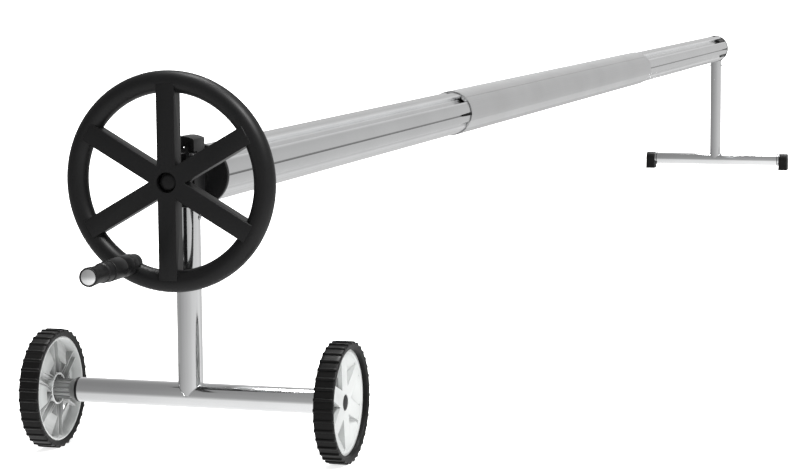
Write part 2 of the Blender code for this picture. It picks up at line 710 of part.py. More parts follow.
def build_end_tube(name, span, shaft, flange, plug_end, reel, parent_y=0.0):
    """A fluted tube with its flanged plug, its shaft's cross pin and the plug's screws."""
    length = span[1] - span[0]
    tube = prism(f"{name}_tube", [fluted_outline(slot=True), fluted_outline(-TUBE_WALL)], length)
    piece(tube, "aluminium", reel, "outline XZ", (0.0, sum(span) / 2 - parent_y, 0.0))
    start, end, radius = flange
    plug = rod(f"{name}_tube_plug", radius, start - parent_y, end - parent_y, 36)
    piece(plug, "black_plastic", reel, "Y")
    inner, outer = sorted((plug_end, (start + end) / 2))
    spigot = prism(f"{name}_plug_spigot", [fluted_outline(-TUBE_WALL - FIT)], outer - inner)
    middle = (inner + outer) / 2 - parent_y
    fuse(plug, tool(spigot, reel, "outline XZ", (0.0, middle, 0.0)))
    ends = (inner - parent_y - 0.02, outer - parent_y + 0.02)
    bore = rod(f"{name}_plug_bore", SHAFT_RADIUS + GAP, *ends)
    cut(plug, tool(bore, reel, "Y"))
    cross_pin(f"{name}_drive_pin", 0.0280, middle, plug, shaft, reel)
    screw_y = middle - 0.014 * math.copysign(1.0, middle)
    for label, around in zip("ab", PLUG_SCREW_ANGLES):
        turn = math.radians(around)
        hole = rod(f"{name}_plug_hole_{label}", 0.0020, 0.0340, 0.0600, SMALL_ROUND)
        tool(hole, reel, "X", (0.0, screw_y, 0.0), turn)
        cut(plug, hole)
        cut(tube, hole)
        screw = pan_screw(f"{name}_plug_screw_{label}", 0.0017, 0.0365, END_TUBE_RADIUS + GAP, 0.0042)
        piece(screw, "steel", reel, "X", (0.0, screw_y, 0.0), turn)


def middle_outline():
    """The middle tube's outer section: round, with one flat and one fine witness groove."""
    start, end = MIDDLE_FLAT
    line, half, depth = WITNESS_LINE
    angles = [i * ARC_STEP for i in range(int(360 / ARC_STEP))]
    polar = [(a, MIDDLE_RADIUS) for a in angles if not start < a < end and abs(a - line) > 3]
    polar += [(start, MIDDLE_RADIUS), (end, MIDDLE_RADIUS)]
    polar += [(line - half, MIDDLE_RADIUS), (line, MIDDLE_RADIUS - depth)]
    polar += [(line + half, MIDDLE_RADIUS)]
    polar.sort()
    return [(r * math.cos(math.radians(a)), r * math.sin(math.radians(a))) for a, r in polar]


def build_middle_tube(middle):
    """The outer tube that both end tubes slide in, with its clamp screws and its slot key."""
    bore = fluted_outline(SLIDE_CLEARANCE)
    length = MIDDLE_TUBE[1] - MIDDLE_TUBE[0]
    tube = prism("middle_tube", [middle_outline(), bore], length)
    piece(tube, "aluminium", middle, "outline XZ", (0.0, sum(MIDDLE_TUBE) / 2, 0.0))
    near_y, far_y = MIDDLE_TUBE[0] + CLAMP_SCREW_INSET, MIDDLE_TUBE[1] - CLAMP_SCREW_INSET
    for end, y in (("near", near_y), ("far", far_y)):
        for label, around in zip("ab", CLAMP_SCREW_ANGLES):
            turn = math.radians(around)
            hole = rod(f"{end}_clamp_hole_{label}", 0.0028, 0.0460, 0.0600, SMALL_ROUND)
            cut(tube, tool(hole, middle, "X", (0.0, y, 0.0), turn))
            tip = END_TUBE_RADIUS + 0.0014
            screw = pan_screw(f"{end}_clamp_screw_{label}", 0.0025, tip, MIDDLE_RADIUS + GAP, 0.0060)
            piece(screw, "steel", middle, "X", (0.0, y, 0.0), turn)

    tip, mouth = SLOT_KEY_HALF_WIDTHS
    outline = [(0.0, -mouth), (0.0, mouth), (-SLOT_KEY_LENGTH, tip), (-SLOT_KEY_LENGTH, -tip)]
    bottom = END_TUBE_RADIUS + GAP
    key = prism("slot_key", [outline], SLOT_KEY_TOP - bottom)
    at = ((SLOT_KEY_TOP + bottom) / 2, MIDDLE_TUBE[0] - GAP, 0.0)
    piece(key, "black_plastic", middle, "outline YZ", at)


# ---------------------------------------------------------------- footed stand

def build_far_shaft(reel):
    """The far shaft, through the far bearing, with the nut that keeps it there."""
    start = -0.085
    shoulder = FAR_BLOCK_HALF_DEPTH + 0.0040
    shaft = turned(
        "far_shaft",
        [(0.0, shoulder + 0.0100), (STUD_RADIUS, shoulder + 0.0100), (STUD_RADIUS, shoulder),
         (SHAFT_RADIUS, shoulder), (SHAFT_RADIUS, start), (0.0, start)],
    )
    piece(shaft, "steel", reel, "Y")
    nut = hex_nut("far_shaft_nut", 0.0130, STUD_RADIUS + GAP, shoulder + 0.0006, shoulder + 0.0080)
    piece(nut, "steel", reel, "Y")
    return shaft


def build_far_stand(stand):
    base_z = FAR_BASE_HEIGHT - AXIS_HEIGHT
    ends = [x - math.copysign(FOOT_END_WALL + FIT, x) for x in FOOT_OUTER_X.values()]
    top = POST_TOP - AXIS_HEIGHT
    tee_tubes(
        "far_base_tube", FAR_BASE_RADIUS, ends, "far_post", FAR_POST_RADIUS, top, stand, base_z
    )
    bottom = top + GAP
    half = BLOCK_HALF_WIDTH
    outline = [(-half, bottom), (half, bottom)]
    outline += arc((0.0, FAR_BLOCK_CROWN), half, 0, 180, 12)
    hole = arc((0.0, 0.0), SADDLE_RADIUS, 0, 345, 23)
    depth = 2 * FAR_BLOCK_HALF_DEPTH
    bracket = prism("far_bearing_block", [outline, hole], depth)
    piece(bracket, "black_plastic", stand, "outline XZ")
    fuse(bracket, spigot_tool("far_bearing_block", FAR_POST_RADIUS, bottom, stand))
    drill_side_screws(bracket, "far_bearing_block", "far_post", stand, FAR_POST_RADIUS)
    build_bush("far_bush", -FAR_BLOCK_HALF_DEPTH, FAR_BLOCK_HALF_DEPTH, stand, 0.0, 0.0)
    for side in FOOT_OUTER_X:
        build_foot(side, stand, base_z)


def build_foot(side, stand, base_z):
    """A rubber foot: a closed cap over the base tube's end, on a pad, with a stop ring inboard."""
    pad = -FAR_BASE_HEIGHT
    outline = arc((0.0, 0.0), FOOT_RADIUS, -15, 195, 16)
    outline += [(-FOOT_PAD_HALF, pad + 0.012), (-FOOT_PAD_HALF, pad), (FOOT_PAD_HALF, pad)]
    outline += [(FOOT_PAD_HALF, pad + 0.012)]
    foot = prism(f"far_foot_{side}", [outline], FOOT_WIDTH)
    outer = FOOT_OUTER_X[side]
    inwards = -math.copysign(1.0, outer)
    piece(foot, "rubber", stand, "outline YZ", (outer + inwards * FOOT_WIDTH / 2, 0.0, base_z))
    mouth = outer + inwards * (FOOT_WIDTH + 0.01)
    end = outer + inwards * FOOT_END_WALL
    socket = rod(f"far_foot_{side}_socket", FAR_BASE_RADIUS + GAP, min(mouth, end), max(mouth, end))
    cut(foot, tool(socket, stand, "X", (0.0, 0.0, base_z)))
    ring_x = outer + inwards * (FOOT_WIDTH + STOP_RING_GAP)
    bore = FAR_BASE_RADIUS + GAP
    ring = sleeve(f"far_stop_ring_{side}", STOP_RING_RADIUS, bore, -0.0012, 0.0012)
    piece(ring, "black_plastic", stand, "X", (ring_x, 0.0, base_z))


# ---------------------------------------------------------------- assembly

def build():
    stand = frame("near_stand_frame", (0.0, NEAR_POST_Y, 0.0))
    build_near_stand(stand)
    keeper = frame("keeper_hinge", (KEEPER_PIN[0], 0.0, KEEPER_PIN[1]), stand)
    build_near_bearing(stand, keeper)
    for side, x in WHEEL_X.items():
        build_wheel(side, frame(f"{side}_wheel_axis", (x, 0.0, WHEEL_RADIUS), stand))

    reel = frame("reel_axis", (0.0, NEAR_POST_Y, AXIS_HEIGHT))
    near_shaft = build_handwheel(reel)
    build_crank(reel, frame("crank_axis", (CRANK[0], 0.0, CRANK[1]), reel))
    build_end_tube("near", NEAR_TUBE, near_shaft, NEAR_FLANGE, NEAR_TUBE[0] + PLUG_DEPTH, reel)
    middle = frame("middle_slide", (0.0, 0.0, 0.0), reel)
    build_middle_tube(middle)
    far_reel = frame("far_slide", (0.0, POST_SPACING, 0.0), middle)
    far_shaft = build_far_shaft(far_reel)
    plug_end = FAR_TUBE[1] - PLUG_DEPTH
    build_end_tube("far", FAR_TUBE, far_shaft, FAR_FLANGE, plug_end, far_reel, POST_SPACING)
    build_far_stand(frame("far_stand_axis", (0.0, 0.0, 0.0), far_reel))


clear_scene()
model = collection("cover_reel")
guides = collection("cutters")
build()
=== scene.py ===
"""The looks of the pool cover reel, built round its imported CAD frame.

Metres, +Z up, +Y along the reel from the handwheel to the footed stand, +X to the right for
someone facing the handwheel. Visible CAD parts are replaced by finely rounded pieces in the same
places, and the fasteners and shafts that stay keep their CAD shape with a better material.
"""
import json
import math

import bmesh
import bpy
from mathutils import Matrix, Vector


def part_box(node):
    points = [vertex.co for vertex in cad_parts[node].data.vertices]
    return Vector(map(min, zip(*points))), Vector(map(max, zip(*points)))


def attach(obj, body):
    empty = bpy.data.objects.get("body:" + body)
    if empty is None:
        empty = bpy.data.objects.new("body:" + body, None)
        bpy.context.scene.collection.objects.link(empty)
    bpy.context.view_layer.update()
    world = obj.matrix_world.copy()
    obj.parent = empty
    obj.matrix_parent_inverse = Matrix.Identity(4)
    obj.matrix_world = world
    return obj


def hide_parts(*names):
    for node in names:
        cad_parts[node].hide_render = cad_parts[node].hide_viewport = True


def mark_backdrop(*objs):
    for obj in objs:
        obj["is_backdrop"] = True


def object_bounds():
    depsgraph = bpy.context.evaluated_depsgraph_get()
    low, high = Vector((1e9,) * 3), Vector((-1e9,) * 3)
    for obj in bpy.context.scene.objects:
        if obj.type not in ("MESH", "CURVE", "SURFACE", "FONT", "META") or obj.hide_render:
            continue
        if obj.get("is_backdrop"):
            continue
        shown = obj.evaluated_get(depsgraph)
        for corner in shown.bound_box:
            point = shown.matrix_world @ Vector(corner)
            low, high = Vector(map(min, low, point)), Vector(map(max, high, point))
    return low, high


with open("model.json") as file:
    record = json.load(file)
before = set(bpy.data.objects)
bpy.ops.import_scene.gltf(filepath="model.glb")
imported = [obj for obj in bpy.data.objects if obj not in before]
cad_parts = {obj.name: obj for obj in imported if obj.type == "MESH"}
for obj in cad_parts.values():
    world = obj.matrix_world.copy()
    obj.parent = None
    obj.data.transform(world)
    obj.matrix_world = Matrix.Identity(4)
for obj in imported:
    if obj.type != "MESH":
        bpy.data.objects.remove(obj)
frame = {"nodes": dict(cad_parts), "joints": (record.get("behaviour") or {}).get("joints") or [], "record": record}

cad_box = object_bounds()

# ---------------------------------------------------------------- sizes

FINE = 96                   # steps round a large turned piece
MEDIUM = 48                 # steps round a screw, a pin or a shaft
WALL = 0.0015               # wall of the stands' tubes
FIT = 0.0003                # clearance of pieces that touch

# Fluted end tubes: each groove is its centre and half width in degrees, its depth, and its
# section as (fraction of the half width, fraction of the depth, corner radius) points.
TUBE_RADIUS = 0.0482
TUBE_WALL = 0.0020
LIP = 0.0012
DEEP = ((-1.0, 0.0, LIP), (-0.78, 0.75, 0.003), (-0.45, 0.97, 0.002), (0.45, 0.97, 0.002),
        (0.78, 0.75, 0.003), (1.0, 0.0, LIP))
SHALLOW = ((-1.0, 0.0, 0.001), (-0.6, 0.64, 0.002), (0.0, 1.0, 0.002), (0.6, 0.64, 0.002),
           (1.0, 0.0, 0.001))
GROOVES = (
    (46.0, 11.8, 0.0122, DEEP),
    (90.0, 10.0, 0.0040, SHALLOW),
    (210.0, 9.5, 0.0040, SHALLOW),
    (329.0, 9.5, 0.0040, SHALLOW),
)
SLOT_HALF = 0.0012
SLOT_DEPTH = 0.0015
SLIDE = 0.0006              # clearance of the end tubes in the middle tube
TONGUE_GAP = 0.0052         # left open between the deep groove's floor and the middle tube
MIDDLE_FLAT = (318.0, 341.0)
WITNESS_ANGLE = 46.0

# Wheels
TREAD_RIBS = 36
TREAD_DEPTH = 0.0025
# A rib is a half round bead: share of the pitch, and height as a share of the tread's depth
RIB_STEPS = ((0.02, 0.0), (0.56, 0.0), (0.60, 0.0), (0.61, 0.42), (0.64, 0.74), (0.69, 0.94),
             (0.76, 1.0), (0.83, 0.94), (0.88, 0.74), (0.91, 0.42), (0.92, 0.0))
POCKET_PHASE = {"left": math.radians(26), "right": math.radians(36)}
POCKETS = 6
FACE = 0.0065               # outboard face of the wheel, from the middle of the tyre
# Pockets: distance from the hub, half width and floor
POCKET = ((0.0275, 0.0002, -0.0075), (0.0455, 0.0115, -0.0075), (0.0700, 0.0266, 0.0039),
          (0.0745, 0.0240, 0.0060), (0.0770, 0.0190, 0.0066))
TRAY = ((0.0238, 0.0003, -0.0100), (0.0455, 0.0139, -0.0100), (0.0700, 0.0290, 0.0014),
        (0.0790, 0.0330, 0.0038))

# Handwheel
SPOKES = 6
SPOKE_WIDTH = 0.031
SPOKE_REACH = 0.158
RIM_SECTION = 0.0177
FACE_PLANE = -0.090         # the spokes' front, from the posts' plane
SHAFT_RADIUS = 0.0100
SHAFT_BORE = 0.0103
STUD_RADIUS = 0.0060        # threaded ends of the shafts
SPINDLE_BORE = 0.0053
PIN_BORE = 0.0023           # holes for the keeper's pin
SADDLE_BORE = 0.0128        # holes for the bushes

# Brightness painted onto the drawn tubes against the angle round the reel, in degrees from +X up to +Z:
# painted highlights on the lips beside the grooves and in lighter bands, and painted shade in the slot and in the
# witness line
# End tubes: painted highlights on the groove lips and in a band beside the top groove, painted shade in the slot
END_TUBE_PAINTED_LIGHT = (
    (-180, 1.0), (-44, 1.0), (-38, 1.45), (-33, 1.0), (-2.2, 1.0), (-1.5, 0.30), (1.5, 0.30),
    (2.2, 1.0), (28, 1.0), (35, 1.60), (39, 1.10), (53, 1.10), (57, 1.60), (66, 1.0), (84, 1.0),
    (95, 1.1), (112, 1.2), (130, 1.0), (180, 1.0),
)
# Middle tube: a painted highlight band below +X, painted shade in the witness line
MIDDLE_TUBE_PAINTED_LIGHT = (
    (-180, 1.0), (-43, 1.0), (-41, 1.2), (-21, 1.15), (-19, 1.0), (44.8, 1.0), (45.6, 0.75),
    (46.4, 0.75), (47.2, 1.0), (180, 1.0),
)
# Brightness painted onto the rims' inboard side against the distance from the axle, in metres: painted shade
# over the boss, deepest before the hub's ring and fading out across the pockets; painted highlights on the ring
# and lip
RIM_PAINTED_LIGHT = (
    (0.0, 0.80), (0.0140, 0.75), (0.0165, 0.30), (0.0232, 0.22), (0.0238, 1.35), (0.0262, 1.35),
    (0.0270, 0.36), (0.0400, 0.58), (0.0560, 0.95), (0.0780, 0.82), (0.0805, 1.1), (0.1, 1.2),
)
# The rims' painted shade and painted highlights lie only nearer the middle of the stand than this
INBOARD = 0.247             # nearer the middle of the stand than this

# Camera
CAMERA_PLACE = (1.4327, -6.1111, 0.8146)
CAMERA_YAW = 16.8355        # turned to the left of +Y, in degrees
CAMERA_PITCH = 6.8253       # tilted down
CAMERA_ROLL = -0.4066
LENS = 105.47


# ---------------------------------------------------------------- places from the frame

JOINTS = {joint["name"]: joint for joint in frame["joints"]}
BODY = {
    node: body
    for body, nodes in frame["record"]["behaviour"]["bodies"].items()
    for node in nodes
}
ACROSS, ALONG, UP = Vector((1, 0, 0)), Vector((0, 1, 0)), Vector((0, 0, 1))


def pivot(joint):
    return Vector(JOINTS[joint]["pos_m"])


def span(node, axis):
    """Lowest and highest coordinate of a CAD node along an axis, 0 to 2."""
    low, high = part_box(node)
    return low[axis], high[axis]


def middle(node):
    low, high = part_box(node)
    return (low + high) / 2


def half_size(node, axis):
    low, high = span(node, axis)
    return (high - low) / 2


def axes(x, y, z, at):
    """The matrix that takes local X, Y and Z to these directions, and the origin to a place."""
    return Matrix.Translation(at) @ Matrix((x, y, z)).transposed().to_4x4()


def along_y(at):
    return axes(ACROSS, -UP, ALONG, at)


def section_xz(at):
    """A flat outline in local X and Y stands in the plane of +X and +Z."""
    return axes(ACROSS, UP, -ALONG, at)


def along_x(at, side=1.0):
    """Local Z points out to the right (side 1) or to the left (side -1), local X along +Y."""
    return axes(ALONG, side * UP, side * ACROSS, at)


REEL = pivot("reel_spin")
CRANK = pivot("grip_spin")
KEEPER_PIN = pivot("keeper_swing")
FAR_END = pivot("far_stand_swing")
WHEEL = {side: pivot(f"{side}_wheel_spin") for side in ("left", "right")}
SIDE = {"left": -1.0, "right": 1.0}


def on_reel(y):
    """A point on the reel's axis."""
    return Vector((REEL.x, y, REEL.z))


# ---------------------------------------------------------------- shaping helpers

def rounded(points, closed=True, steps=4):
    """An outline whose corners are rounded: each point is (x, y) or (x, y, corner radius)."""
    result = []
    count = len(points)
    for index, point in enumerate(points):
        corner = Vector(point[:2])
        radius = point[2] if len(point) > 2 else 0.0
        if radius == 0.0 or (not closed and index in (0, count - 1)):
            result.append(tuple(corner))
            continue
        back = (Vector(points[index - 1][:2]) - corner).normalized()
        ahead = (Vector(points[(index + 1) % count][:2]) - corner).normalized()
        half = back.angle(ahead) / 2
        centre = corner + (back + ahead).normalized() * (radius / math.sin(half))
        start, end = (corner + way * (radius / math.tan(half)) - centre for way in (back, ahead))
        turn = math.atan2(start.x * end.y - start.y * end.x, start.dot(end))
        for step in range(steps + 1):
            result.append(tuple(centre + Matrix.Rotation(turn * step / steps, 2) @ start))
    return result


def arc(centre, radius, start, end, steps):
    """Points along an arc, ends included, with angles in degrees."""
    angles = [math.radians(start + (end - start) * i / steps) for i in range(steps + 1)]
    return [
        (centre[0] + radius * math.cos(a), centre[1] + radius * math.sin(a)) for a in angles
    ]


def shape(name, bm, place=None):
    """A mesh object from a bmesh, moved to its place in the frame."""
    bmesh.ops.recalc_face_normals(bm, faces=bm.faces)
    if place is not None:
        bmesh.ops.transform(bm, matrix=place, verts=bm.verts)
        if place.to_3x3().determinant() < 0:
            bmesh.ops.reverse_faces(bm, faces=bm.faces)
    mesh = bpy.data.meshes.new(name)
    bm.to_mesh(mesh)
    bm.free()
    made = bpy.data.objects.new(name, mesh)
    bpy.context.scene.collection.objects.link(made)
    return made


def turned(name, outline, place, steps=FINE):
    """A turned piece: (radius, height) points round its section, or from axis to axis."""
    bm = bmesh.new()
    verts = [bm.verts.new((radius, 0.0, height)) for radius, height in outline]
    links = [(verts[i - 1], verts[i]) for i in range(1, len(verts))]
    if outline[0][0] > 0.0:
        links.append((verts[-1], verts[0]))
    edges = [bm.edges.new(link) for link in links]
    bmesh.ops.spin(
        bm, geom=verts + edges, cent=(0, 0, 0), axis=(0, 0, 1), dvec=(0, 0, 0),
        angle=math.tau, steps=steps, use_merge=True,
    )
    bmesh.ops.remove_doubles(bm, verts=bm.verts, dist=0.000002)
    return shape(name, bm, place)


def solid(name, outline, place, steps=FINE, corner_steps=4):
    """A turned piece with rounded corners, whose section runs from axis to axis."""
    return turned(name, rounded(outline, closed=False, steps=corner_steps), place, steps)


def cylinder(name, radius, low, high, place):
    """A plain round pin between two heights."""
    return solid(name, [(0.0, low), (radius, low), (radius, high), (0.0, high)], place, MEDIUM)


def plate(name, outlines, depth, place, edge=0.0):
    """Flat outlines, holes included, as a plate about local Z = 0, its edges rounded."""
    curve = bpy.data.curves.new(name, "CURVE")
    curve.dimensions = "2D"
    curve.fill_mode = "BOTH"
    curve.extrude = depth / 2 - edge
    curve.bevel_depth = edge
    curve.bevel_resolution = 2
    curve.offset = -edge
    for outline in outlines:
        spline = curve.splines.new("POLY")
        spline.points.add(len(outline) - 1)
        for point, (x, y) in zip(spline.points, outline):
            point.co = (x, y, 0.0, 1.0)
        spline.use_cyclic_u = True
    drawn = bpy.data.objects.new(name, curve)
    bpy.context.scene.collection.objects.link(drawn)
    depsgraph = bpy.context.evaluated_depsgraph_get()
    mesh = bpy.data.meshes.new_from_object(drawn.evaluated_get(depsgraph))
    bpy.data.objects.remove(drawn)
    bm = bmesh.new()
    bm.from_mesh(mesh)
    bpy.data.meshes.remove(mesh)
    bmesh.ops.remove_doubles(bm, verts=bm.verts, dist=0.000005)
    return shape(name, bm, place)


def bar(name, low, high, place, edge=0.0005, steps=3):
    """A box between two corners, with rounded edges."""
    bm = bmesh.new()
    bmesh.ops.create_cube(bm, size=1.0)
    size = [b - a for a, b in zip(low, high)]
    centre = [(a + b) / 2 for a, b in zip(low, high)]
    bmesh.ops.scale(bm, verts=bm.verts, vec=size)
    bmesh.ops.translate(bm, verts=bm.verts, vec=centre)
    if edge:
        bmesh.ops.bevel(bm, geom=bm.edges[:], offset=edge, segments=steps, profile=0.5,
                        affect="EDGES")
    return shape(name, bm, place)


def grid(name, rows, place=None, closed_rows=True):
    """A closed surface of quads through equal rings of points, either in a loop or capped."""
    bm = bmesh.new()
    verts = [[bm.verts.new(point) for point in row] for row in rows]
    row_count, column_count = len(rows), len(rows[0])
    for i in range(row_count if closed_rows else row_count - 1):
        here, after = verts[i], verts[(i + 1) % row_count]
        for j in range(column_count):
            k = (j + 1) % column_count
            bm.faces.new((here[j], after[j], after[k], here[k]))
    if not closed_rows:
        bm.faces.new(verts[0])
        bm.faces.new(verts[-1])
    return shape(name, bm, place)


def wedge(name, stations, top, place):
    """A solid along local X, through (distance, half width, bottom) stations, with a flat top."""
    rows = [
        [(x, -half, low), (x, half, low), (x, half, top), (x, -half, top)]
        for x, half, low in stations
    ]
    return grid(name, rows, place, closed_rows=False)


def combined(base, others, operation="UNION"):
    """The base with other shapes joined on or cut away, as one mesh. The others are used up."""
    group = bpy.data.collections.new(f"{base.name}_{operation.lower()}")
    bpy.context.scene.collection.children.link(group)
    for other in others:
        group.objects.link(other)
    step = base.modifiers.new(operation.lower(), "BOOLEAN")
    step.operation = operation
    step.solver = "EXACT"
    step.operand_type = "COLLECTION"
    step.collection = group
    depsgraph = bpy.context.evaluated_depsgraph_get()
    mesh = bpy.data.meshes.new_from_object(base.evaluated_get(depsgraph))
    base.modifiers.clear()
    old = base.data
    base.data = mesh
    bpy.data.meshes.remove(old)
    for other in others:
        bpy.data.objects.remove(other)
    bpy.data.collections.remove(group)
    return base


def tidied(piece):
    """Merges the slivers that a Boolean leaves."""
    bm = bmesh.new()
    bm.from_mesh(piece.data)
    bmesh.ops.dissolve_degenerate(bm, edges=bm.edges, dist=0.00001)
    bmesh.ops.remove_doubles(bm, verts=bm.verts, dist=0.00001)
    bm.to_mesh(piece.data)
    bm.free()
    return piece


# ---------------------------------------------------------------- materials

class Nodes:
    """The node tree of a material or a world, built with short calls."""

    def __init__(self, owner):
        owner.use_nodes = True
        self.tree = owner.node_tree

    def new(self, kind, inputs=None, **settings):
        """A node with its settings, its inputs set or linked by name or by number."""
        node = self.tree.nodes.new(f"ShaderNode{kind}")
        for name, value in settings.items():
            setattr(node, name, value)
        self.feed(node, inputs or {})
        return node

    def feed(self, node, inputs):
        """Sets a node's inputs, or links other nodes' outputs to them."""
        for socket, value in inputs.items():
            if isinstance(value, bpy.types.NodeSocket):
                self.tree.links.new(value, node.inputs[socket])
            else:
                node.inputs[socket].default_value = value

    def split(self, vector):
        return self.new("SeparateXYZ", {"Vector": vector}).outputs

    def noise(self, place, scale, detail=3.0):
        """Noise with its own scale along each axis, in waves per metre."""
        mapping = self.new("Mapping", {"Vector": place, "Scale": scale})
        return self.new("TexNoise", {
            "Vector": mapping.outputs["Vector"], "Scale": 1.0, "Detail": detail, "Roughness": 0.55,
        }).outputs["Fac"]

    def spread(self, source, low=0.0, high=1.0, start=0.3, end=0.7):
        """A value between two limits, stretched between two others."""
        return self.new("MapRange", {
            "Value": source, "From Min": start, "From Max": end, "To Min": low, "To Max": high,
        }).outputs["Result"]

    def blend(self, factor, first, second):
        """A colour between two others."""
        node = self.new("Mix", {"Factor": factor}, data_type="RGBA")
        entries = [(entry.name, entry.type) for entry in node.inputs]
        self.feed(node, {entries.index(("A", "RGBA")): first, entries.index(("B", "RGBA")): second})
        return [entry for entry in node.outputs if entry.type == "RGBA"][0]

    def bump(self, source, depth):
        """Raises the surface by a height in metres."""
        return self.new("Bump", {"Height": source, "Distance": depth}).outputs["Normal"]

    def math(self, operation, *values):
        """One arithmetic step on numbers and nodes' values."""
        return self.new("Math", dict(enumerate(values)), operation=operation).outputs["Value"]

    def times(self, first, second):
        """Two colours multiplied."""
        node = self.new("VectorMath", {0: first, 1: second}, operation="MULTIPLY")
        return node.outputs["Vector"]

    def ramp(self, source, stops, interpolation="LINEAR"):
        """A grey that follows a 0 to 1 value through (position, brightness) stops."""
        node = self.new("ValToRGB", {"Fac": source})
        node.color_ramp.interpolation = interpolation
        elements = node.color_ramp.elements
        while len(elements) < len(stops):
            elements.new(0.5)
        for element, (position, grey) in zip(elements, stops):
            element.position = position
            element.color = (grey, grey, grey, 1.0)
        return node.outputs["Color"]


def painted_light_round(nodes, place, painted_light):
    """A factor of painted highlights and painted shade against the angle round the reel's axis, from (degrees,
    factor) stops.
    """
    split = nodes.split(place)
    up = nodes.math("SUBTRACT", split["Z"], REEL.z)
    right = nodes.math("SUBTRACT", split["X"], REEL.x)
    turn = nodes.spread(nodes.math("ARCTAN2", up, right), 0.0, 1.0, -math.pi, math.pi)
    return nodes.ramp(turn, [((degrees + 180) / 360, factor) for degrees, factor in painted_light])


def painted_light_out(nodes, place, painted_light):
    """A factor of painted shade and painted highlights against the distance from the wheels' axle, on their
    inboard sides only.
    """
    split = nodes.split(place)
    forward = nodes.math("SUBTRACT", split["Y"], WHEEL["left"].y)
    up = nodes.math("SUBTRACT", split["Z"], WHEEL["left"].z)
    squares = [nodes.math("POWER", side, 2.0) for side in (forward, up)]
    out = nodes.math("SQRT", nodes.math("ADD", *squares))
    farthest = painted_light[-1][0]
    stops = [(distance / farthest, factor) for distance, factor in painted_light]
    factor = nodes.ramp(nodes.math("DIVIDE", out, farthest), stops)
    inboard = nodes.math("LESS_THAN", nodes.math("ABSOLUTE", split["X"]), INBOARD)
    step = nodes.math("SUBTRACT", factor, 1.0)
    return nodes.math("ADD", nodes.math("MULTIPLY", step, inboard), 1.0)


def tint(colour, factor):
    return (*(channel * factor for channel in colour), 1.0)


def finish(name, colour, roughness, grain, depth, painted_light=None, specular=None):
    """Metal, or plastic and rubber if a specular level is given: a fine grain, a cloudy tint, a
    slightly uneven gloss, and the painted highlights and painted shade of the reel's tubes or of the rims."""
    material = bpy.data.materials.new(name)
    nodes = Nodes(material)
    place = nodes.new("TexCoord").outputs["Object"]
    metal = specular is None
    skin = nodes.noise(place, grain, 4.0 if metal else 2.0)
    clouds = nodes.noise(place, (6.0, 6.0, 6.0) if metal else (9.0, 9.0, 9.0))
    darkest, lightest = (0.95, 1.03) if metal else (0.92, 1.06)
    shade = nodes.blend(nodes.spread(clouds), tint(colour, darkest), tint(colour, lightest))
    # Painted highlights and painted shade multiply the base colour
    if painted_light:
        graded = painted_light_round if metal else painted_light_out
        shade = nodes.times(shade, graded(nodes, place, painted_light))
    if metal:
        gloss = nodes.spread(skin, roughness * 0.85, roughness * 1.2)
    else:
        gloss = nodes.spread(clouds, roughness * 0.92, roughness * 1.08)
    look = {"Metallic": 1.0} if metal else {"Specular IOR Level": specular}
    nodes.feed(nodes.tree.nodes["Principled BSDF"], {
        "Base Color": shade, "Roughness": gloss, "Normal": nodes.bump(skin, depth), **look,
    })
    return material


EVEN, DRAWN = (900.0, 900.0, 900.0), (1400.0, 3.0, 1400.0)
MOULD, RUBBER = (1800.0, 1800.0, 1800.0), (1200.0, 1200.0, 1200.0)
SMOOTH = (1600.0, 1600.0, 1600.0)
BLACK, BLACK_RUBBER = (0.0036, 0.0036, 0.0038), (0.0032, 0.0031, 0.0030)
# Colour, roughness, grain, depth of the grain, painted highlights and shade, and specular level
FINISHES = {
    name: finish(name, *values) for name, values in {
        "stainless": ((0.76, 0.765, 0.77), 0.11, EVEN, 0.000002),
        "fluted_aluminium": ((0.60, 0.605, 0.61), 0.20, DRAWN, 0.000006, END_TUBE_PAINTED_LIGHT),
        "satin_aluminium": ((0.55, 0.552, 0.555), 0.38, DRAWN, 0.000006, MIDDLE_TUBE_PAINTED_LIGHT),
        "steel": ((0.52, 0.525, 0.53), 0.28, EVEN, 0.000006),
        "chrome": ((0.86, 0.865, 0.87), 0.16, EVEN, 0.000002),
        "black_plastic": (BLACK, 0.42, MOULD, 0.000020, None, 0.24),
        "dull_black": (BLACK, 0.80, MOULD, 0.000020, None, 0.05),
        "tyre_rubber": (BLACK_RUBBER, 0.40, RUBBER, 0.000030, None, 0.18),
        "foot_rubber": (BLACK_RUBBER, 0.50, RUBBER, 0.000040, None, 0.20),
        "grey_plastic": ((0.42, 0.43, 0.425), 0.36, SMOOTH, 0.000020, RIM_PAINTED_LIGHT, 0.40),
        "nylon": ((0.60, 0.59, 0.56), 0.45, SMOOTH, 0.000015, None, 0.45),
    }.items()
}

# Finishes of the CAD pieces that stay as they are
PLAIN = {
    "steel": (
        "axle", "axle_nut_left", "axle_nut_right", "keeper_pin", "handwheel_drive_pin",
        "hub_washer", "hub_nut", "crank_spindle", "crank_nut", "near_drive_pin", "far_drive_pin",
        "far_shaft_nut",
    ),
    "dull_black": ("slot_key",),
}


def show(piece, slot, *nodes, crease=35.0):
    """Finishes a piece that stands for CAD nodes: its material, its shading and its body."""
    piece.data.materials.clear()
    piece.data.materials.append(FINISHES[slot])
    piece.data.shade_smooth()
    piece.data.set_sharp_from_angle(angle=math.radians(crease))
    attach(piece, BODY[nodes[0]])
    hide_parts(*nodes)
    return piece


def show_turned(node, slot, outline, place, steps=FINE):
    """A turned piece that replaces one CAD node."""
    show(turned(f"{node}_fine", outline, place, steps), slot, node)


def outer_end(node, side):
    """The end of a CAD node that is farther from the middle, to the left or to the right."""
    return span(node, 0)[side == "right"]


# ---------------------------------------------------------------- stands

